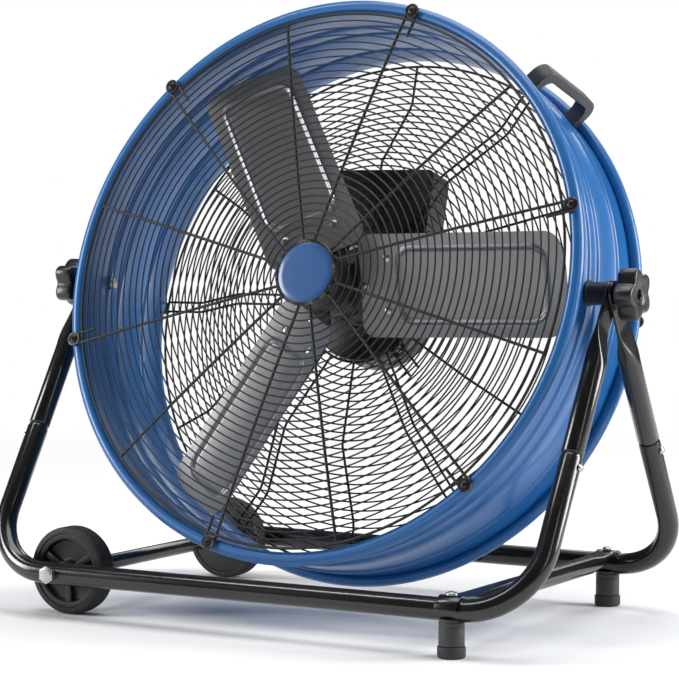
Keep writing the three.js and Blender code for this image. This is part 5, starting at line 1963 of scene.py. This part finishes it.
@dataclass
class FootEnd(Assembly):
    """The cross brace with its saddles, screws and feet."""

    x: float = 259.5
    brace_r: float = 11.0
    half: float = 13.0
    post: float = 14.0
    pad: float = 15.3
    pad_height: float = 12.5

    def build(self) -> None:
        """Builds the brace, both saddles, both screws and both feet."""
        top = RAIL_Z + TUBE_R + 1.8
        low = RAIL_Z + 4
        near, flare, start = RAIL_Y - 6, RAIL_Y - 27, RAIL_Y - 56
        keys = [
            (-near, self.half, 1.5, top - 1), (-near + 6, self.half, 1.6, top - 1.6),
            (-flare, self.half, 3.2, (top + low) / 2 + 1), (-flare + 9, 13.2, 6.4, low + 2.4),
            (-start, self.brace_r, self.brace_r, low)
        ]
        keys += [(-y, w, t, z) for y, w, t, z in keys[::-1]]
        sections = []
        for y, wide, thick, z in keys:
            flat = 1 - min(thick / wide, 1)
            power = 2 / (2 + 5 * flat)
            ring = []
            for k in range(32):
                c, s = squared(k * math.tau / 32, power)
                ring.append((self.x - c * wide, y, z + s * thick))
            sections.append(ring)
        whole = lofted(sections)
        outer, inner = TUBE_R + 3.3, TUBE_R + 0.3
        angles = [k * math.pi / 24 for k in range(25)]
        outline = [(outer * math.cos(a), outer * math.sin(a)) for a in angles]
        outline += [(inner * math.cos(a), inner * math.sin(a)) for a in angles[::-1]]
        band = slab(outline, -self.half, self.half)
        for side in Side:
            at = shift(self.x, side.value * RAIL_Y, RAIL_Z)
            whole = whole + band.moved(at @ spin(QUARTER, "Z") @ spin(QUARTER, "X"))
        self.shop.add(
            "foot_brace", whole, "black_tube", "stand", ("cross_brace",), METRES, bevel=0.5,
            sharp=40
        )
        for side in Side:
            self.add_foot(side)

    def add_foot(self, side: Side) -> None:
        """Adds one foot with its screw.

        Args:
            side: The rail that it stands under.
        """
        at = METRES @ shift(self.x, side.value * RAIL_Y, 0)
        p, c = self.post, self.pad
        low, top = self.pad_height + GAP, RAIL_Z - TUBE_R
        post = turned(
            [
                (0, low), (p - 1, low), (p, low + 0.7), (p, top - 5.0), (p - 0.5, top - 4.6),
                (p, top - 4.2), (p, top - 0.2), (p - 0.8, top + 1), (0, top + 1)
            ],
            64
        )
        saddle = rod(p - 0.6, top + 1, top + 3.4, 64)
        self.shop.add(
            f"{side.word}_foot", post + saddle, "grey_plastic", "stand",
            (f"{side.word}_foot_post",), at, bevel=0.3
        )
        h = self.pad_height
        pad = turned(
            [
                (0, 0), (c - 2.2, 0), (c - 0.9, 0.7), (c - 0.2, 2.2), (c, 3.4), (c, h - 0.9),
                (c - 0.7, h), (0, h)
            ],
            64
        )
        self.shop.add(
            f"{side.word}_foot_sole", pad, "foot_rubber", "stand", (f"{side.word}_foot_pad",), at
        )
        seat = RAIL_Z + TUBE_R + 3.6
        screw = pan_head(6.5, 4.0, seat) + rod(3.0, RAIL_Z - 20, seat + 0.3, 16)
        self.shop.add(
            f"{side.word}_foot_screw", screw, "zinc_hardware", "stand",
            (f"{side.word}_brace_screw",), at
        )


@dataclass
class Wheels(Assembly):
    """Both wheels on their axle."""

    x: float = -256.0
    r: float = 51.0
    face: float = 182.0
    width: float = 26.0
    tyre: float = 7.5
    rim: float = 6.0
    boss: float = 12.0
    axle_r: float = 5.0

    def treaded(self) -> list[Pair]:
        """The tyre's profile with its fine grooves.

        Returns:
            The profile, as (radius, height).
        """
        inner, back, face, r = self.r - self.tyre, self.face - self.width, self.face, self.r
        points = [(inner, back), (r - 3, back), (r - 1.2, back + 0.9), (r - 0.2, back + 2.8)]
        for k in range(4):
            mid = back + 5.5 + k * 5.0
            points += [(r, mid - 0.8), (r - 0.9, mid - 0.5), (r - 0.9, mid + 0.5), (r, mid + 0.8)]
        return points + [(r - 0.2, face - 2.8), (r - 1.2, face - 0.9), (r - 3, face), (inner, face)]

    def build(self) -> None:
        """Builds the wheels, the axle, its nut and sleeve."""
        for side in Side:
            turn = spin(-side.value * QUARTER, "X")
            place = METRES @ shift(self.x, 0, RAIL_Z) @ turn
            body = f"{side.word}_wheel"
            self.shop.add(
                f"{side.word}_tread", turned(self.treaded(), 120, ring=True), "tyre", body,
                (f"{side.word}_wheel_tyre",), place, sharp=35
            )
            self.shop.add(
                f"{side.word}_wheel_body", self.hub(), "wheel_plastic", body,
                (f"{side.word}_wheel_hub",), place, bevel=0.4
            )
        at = METRES @ shift(self.x, 0, RAIL_Z) @ spin(QUARTER, "X")
        seat = RAIL_Y + TUBE_R + GAP
        head = slab(hexagon(18, math.pi / 6), seat, seat + 6.2) + turned(
            [(0, seat + 6.2), (8.2, seat + 6.2), (7.2, seat + 7), (0, seat + 7)], 48
        )
        self.shop.add(
            "axle_bolt", head + rod(self.axle_r, -seat - 7, seat + 0.5, 32), "zinc_hardware",
            "stand", ("axle",), at, bevel=0.35
        )
        nut = slab(hexagon(18, math.pi / 6), -seat - 7, -seat) + turned(
            [(5.2, -seat - 7), (8.4, -seat - 7), (8.9, -seat - 6.4), (5.2, -seat - 6.4)], 48,
            ring=True
        )
        self.shop.add("axle_end_nut", nut, "zinc_hardware", "stand", ("axle_nut",), at, bevel=0.35)
        end = self.face - self.width - 3.6
        sleeve = turned([(5.6, -end), (9.0, -end), (9.0, end), (5.6, end)], 48, ring=True)
        self.shop.add("axle_tube", sleeve, "black_tube", "stand", ("axle_sleeve",), at, bevel=0.3)

    def hub(self) -> Form:
        """A wheel's body with its three spokes.

        Returns:
            The body, about Z.
        """
        back, face, boss = self.face - self.width, self.face, self.boss
        outer, mid = self.r - self.tyre - 0.3, self.face - self.width / 2
        inner = outer - self.rim
        body = turned(
            [
                (5.3, back - 3), (boss, back - 3), (boss, back + 1), (outer, back + 1),
                (outer, face - 1), (inner, face - 1), (inner - 1.6, mid + 6),
                (inner - 2, mid + 4.5), (boss + 1.5, mid + 4.5), (boss, mid + 6),
                (boss - 0.6, RAIL_Y - TUBE_R - 0.7), (5.3, RAIL_Y - TUBE_R - 0.7)
            ],
            96, ring=True
        )
        spoke = slab(
            [(boss - 1, -3), (inner + 1, -4), (inner + 1, 4), (boss - 1, 3)], mid, face - 3.2
        )
        return body + spoke.around(3, 30)


# ---------------------------------------------------------------- studio


@dataclass
class Studio:
    """Floor, light and the photograph's camera.

    Attributes:
        place: The camera's place, in metres.
        azimuth: Its angle round the fan, in degrees.
        pitch: How far it looks down, in degrees.
        roll: Its roll, in degrees.
        lens: Its focal length, in millimetres.
        floor_near: The floor is shaded inside this radius, in metres.
        floor_far: The floor is plain white outside this radius.
        even: Strength of the surround as light.
        reflected: Strength of the surround in reflections.
        lights: Name, place, aim, size and power of each soft box.
    """

    place: Point = (1.46445, -2.55192, 0.47693)
    azimuth: float = 29.756
    pitch: float = 3.196
    roll: float = 0.16
    lens: float = 130.84
    floor_near: float = 0.9
    floor_far: float = 2.4
    even: float = 0.24
    reflected: float = 0.07
    lights: tuple[tuple[str, Point, Point, Pair, float], ...] = (
        ("right_box", (2.5, 1.3, 1.2), (0.1, 0, 0.35), (1.0, 1.9), 84.0),
        ("right_strip", (2.6, -1.2, 1.4), (0.1, 0, 0.35), (0.2, 1.8), 6.0),
        ("left_strip", (-1.45, -0.85, 2.7), (0, 0, 0.35), (0.3, 0.7), 11.0),
        ("left_box", (-2.5, -1.8, 1.1), (0, 0, 0.35), (0.8, 1.4), 62.0),
        ("rear_box", (-0.4, 2.8, 2.2), (0, 0, 0.4), (2.2, 1.2), 24.0),
        ("top_box", (0.0, 0.3, 3.2), (0, 0, 0), (2.4, 2.4), 66.0),
    )

    def build(self) -> None:
        """Builds the floor, surround, lights and camera."""
        self.add_floor()
        self.add_world()
        self.add_lights()
        self.add_camera()

    def add_floor(self) -> None:
        """Adds the pale floor, which turns plain white away from the fan."""
        mesh = bpy.data.meshes.new("floor")
        h = 9.0
        mesh.from_pydata([(-h, -h, 0), (h, -h, 0), (h, h, 0), (-h, h, 0)], [], [(0, 1, 2, 3)])
        floor = bpy.data.objects.new("floor", mesh)
        bpy.context.scene.collection.objects.link(floor)
        material = bpy.data.materials.new("floor")
        material.use_nodes = True
        tree = material.node_tree
        shader = tree.nodes["Principled BSDF"]
        shader.inputs["Base Color"].default_value = (0.88, 0.88, 0.885, 1)
        shader.inputs["Roughness"].default_value = 0.6
        shader.inputs["Specular IOR Level"].default_value = 0.15
        white = tree.nodes.new("ShaderNodeEmission")
        where = tree.nodes.new("ShaderNodeTexCoord").outputs["Object"]
        length = tree.nodes.new("ShaderNodeVectorMath")
        length.operation = "LENGTH"
        tree.links.new(where, length.inputs[0])
        share = _ranged(tree, length.outputs["Value"], self.floor_near, self.floor_far, 0.0, 1.0)
        mix = tree.nodes.new("ShaderNodeMixShader")
        tree.links.new(share, mix.inputs[0])
        tree.links.new(shader.outputs[0], mix.inputs[1])
        tree.links.new(white.outputs[0], mix.inputs[2])
        tree.links.new(mix.outputs[0], tree.nodes["Material Output"].inputs[0])
        mesh.materials.append(material)

    def add_world(self) -> None:
        """Adds the surround: even for light, dim in reflections, plain white behind the fan."""
        world = bpy.data.worlds.new("surround")
        bpy.context.scene.world = world
        world.use_nodes = True
        tree = world.node_tree
        path = tree.nodes.new("ShaderNodeLightPath")
        even = tree.nodes["Background"]
        even.inputs[0].default_value = (0.96, 0.98, 1.0, 1)
        even.inputs[1].default_value = self.even
        last = even.outputs[0]
        for ray, strength in (("Is Glossy Ray", self.reflected), ("Is Camera Ray", 1.0)):
            ground = tree.nodes.new("ShaderNodeBackground")
            ground.inputs[0].default_value = (1, 1, 1, 1)
            ground.inputs[1].default_value = strength
            mix = tree.nodes.new("ShaderNodeMixShader")
            tree.links.new(path.outputs[ray], mix.inputs[0])
            tree.links.new(last, mix.inputs[1])
            tree.links.new(ground.outputs[0], mix.inputs[2])
            last = mix.outputs[0]
        tree.links.new(last, tree.nodes["World Output"].inputs[0])

    def add_lights(self) -> None:
        """Adds the soft boxes."""
        for name, place, aim, size, power in self.lights:
            light = bpy.data.lights.new(name, "AREA")
            light.shape, light.energy = "RECTANGLE", power
            light.size, light.size_y = size
            lamp = bpy.data.objects.new(name, light)
            lamp.location = place
            lamp.rotation_mode = "QUATERNION"
            lamp.rotation_quaternion = (Vector(aim) - Vector(place)).to_track_quat("-Z", "Y")
            bpy.context.scene.collection.objects.link(lamp)

    def add_camera(self) -> None:
        """Adds the camera at the photograph's place."""
        a, e, r = (math.radians(x) for x in (self.azimuth, self.pitch, self.roll))
        ahead = Vector((-math.sin(a) * math.cos(e), math.cos(a) * math.cos(e), -math.sin(e)))
        right = Vector((math.cos(a), math.sin(a), 0))
        up = right.cross(ahead)
        x = right * math.cos(r) + up * math.sin(r)
        y = up * math.cos(r) - right * math.sin(r)
        data = bpy.data.cameras.new("camera")
        data.lens, data.sensor_fit, data.sensor_height = self.lens, "VERTICAL", 36.0
        camera = bpy.data.objects.new("camera", data)
        turn = Matrix((x, y, -ahead)).transposed().to_4x4()
        camera.matrix_world = Matrix.Translation(self.place) @ turn
        bpy.context.scene.collection.objects.link(camera)
        bpy.context.scene.camera = camera


def main() -> None:
    """Builds the fan in its frame and sets the studio round it."""
    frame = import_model()
    shop = Workshop(frame)
    parts: list[Assembly] = [
        Drum(shop), FrontGuard(shop), RearGuard(shop), Motor(shop), SwitchBox(shop), Fan(shop)
    ]
    parts += [
        Handle(shop), *(Pivot(shop, end) for end in End), *(TubeFrame(shop, side) for side in Side)
    ]
    parts += [FootEnd(shop), Wheels(shop)]
    for part in parts:
        log.info("building %s", type(part).__name__)
        part.build()
    Studio().build()
    bpy.context.scene.view_settings.view_transform = "Standard"


if __name__ == "__main__":
    main()
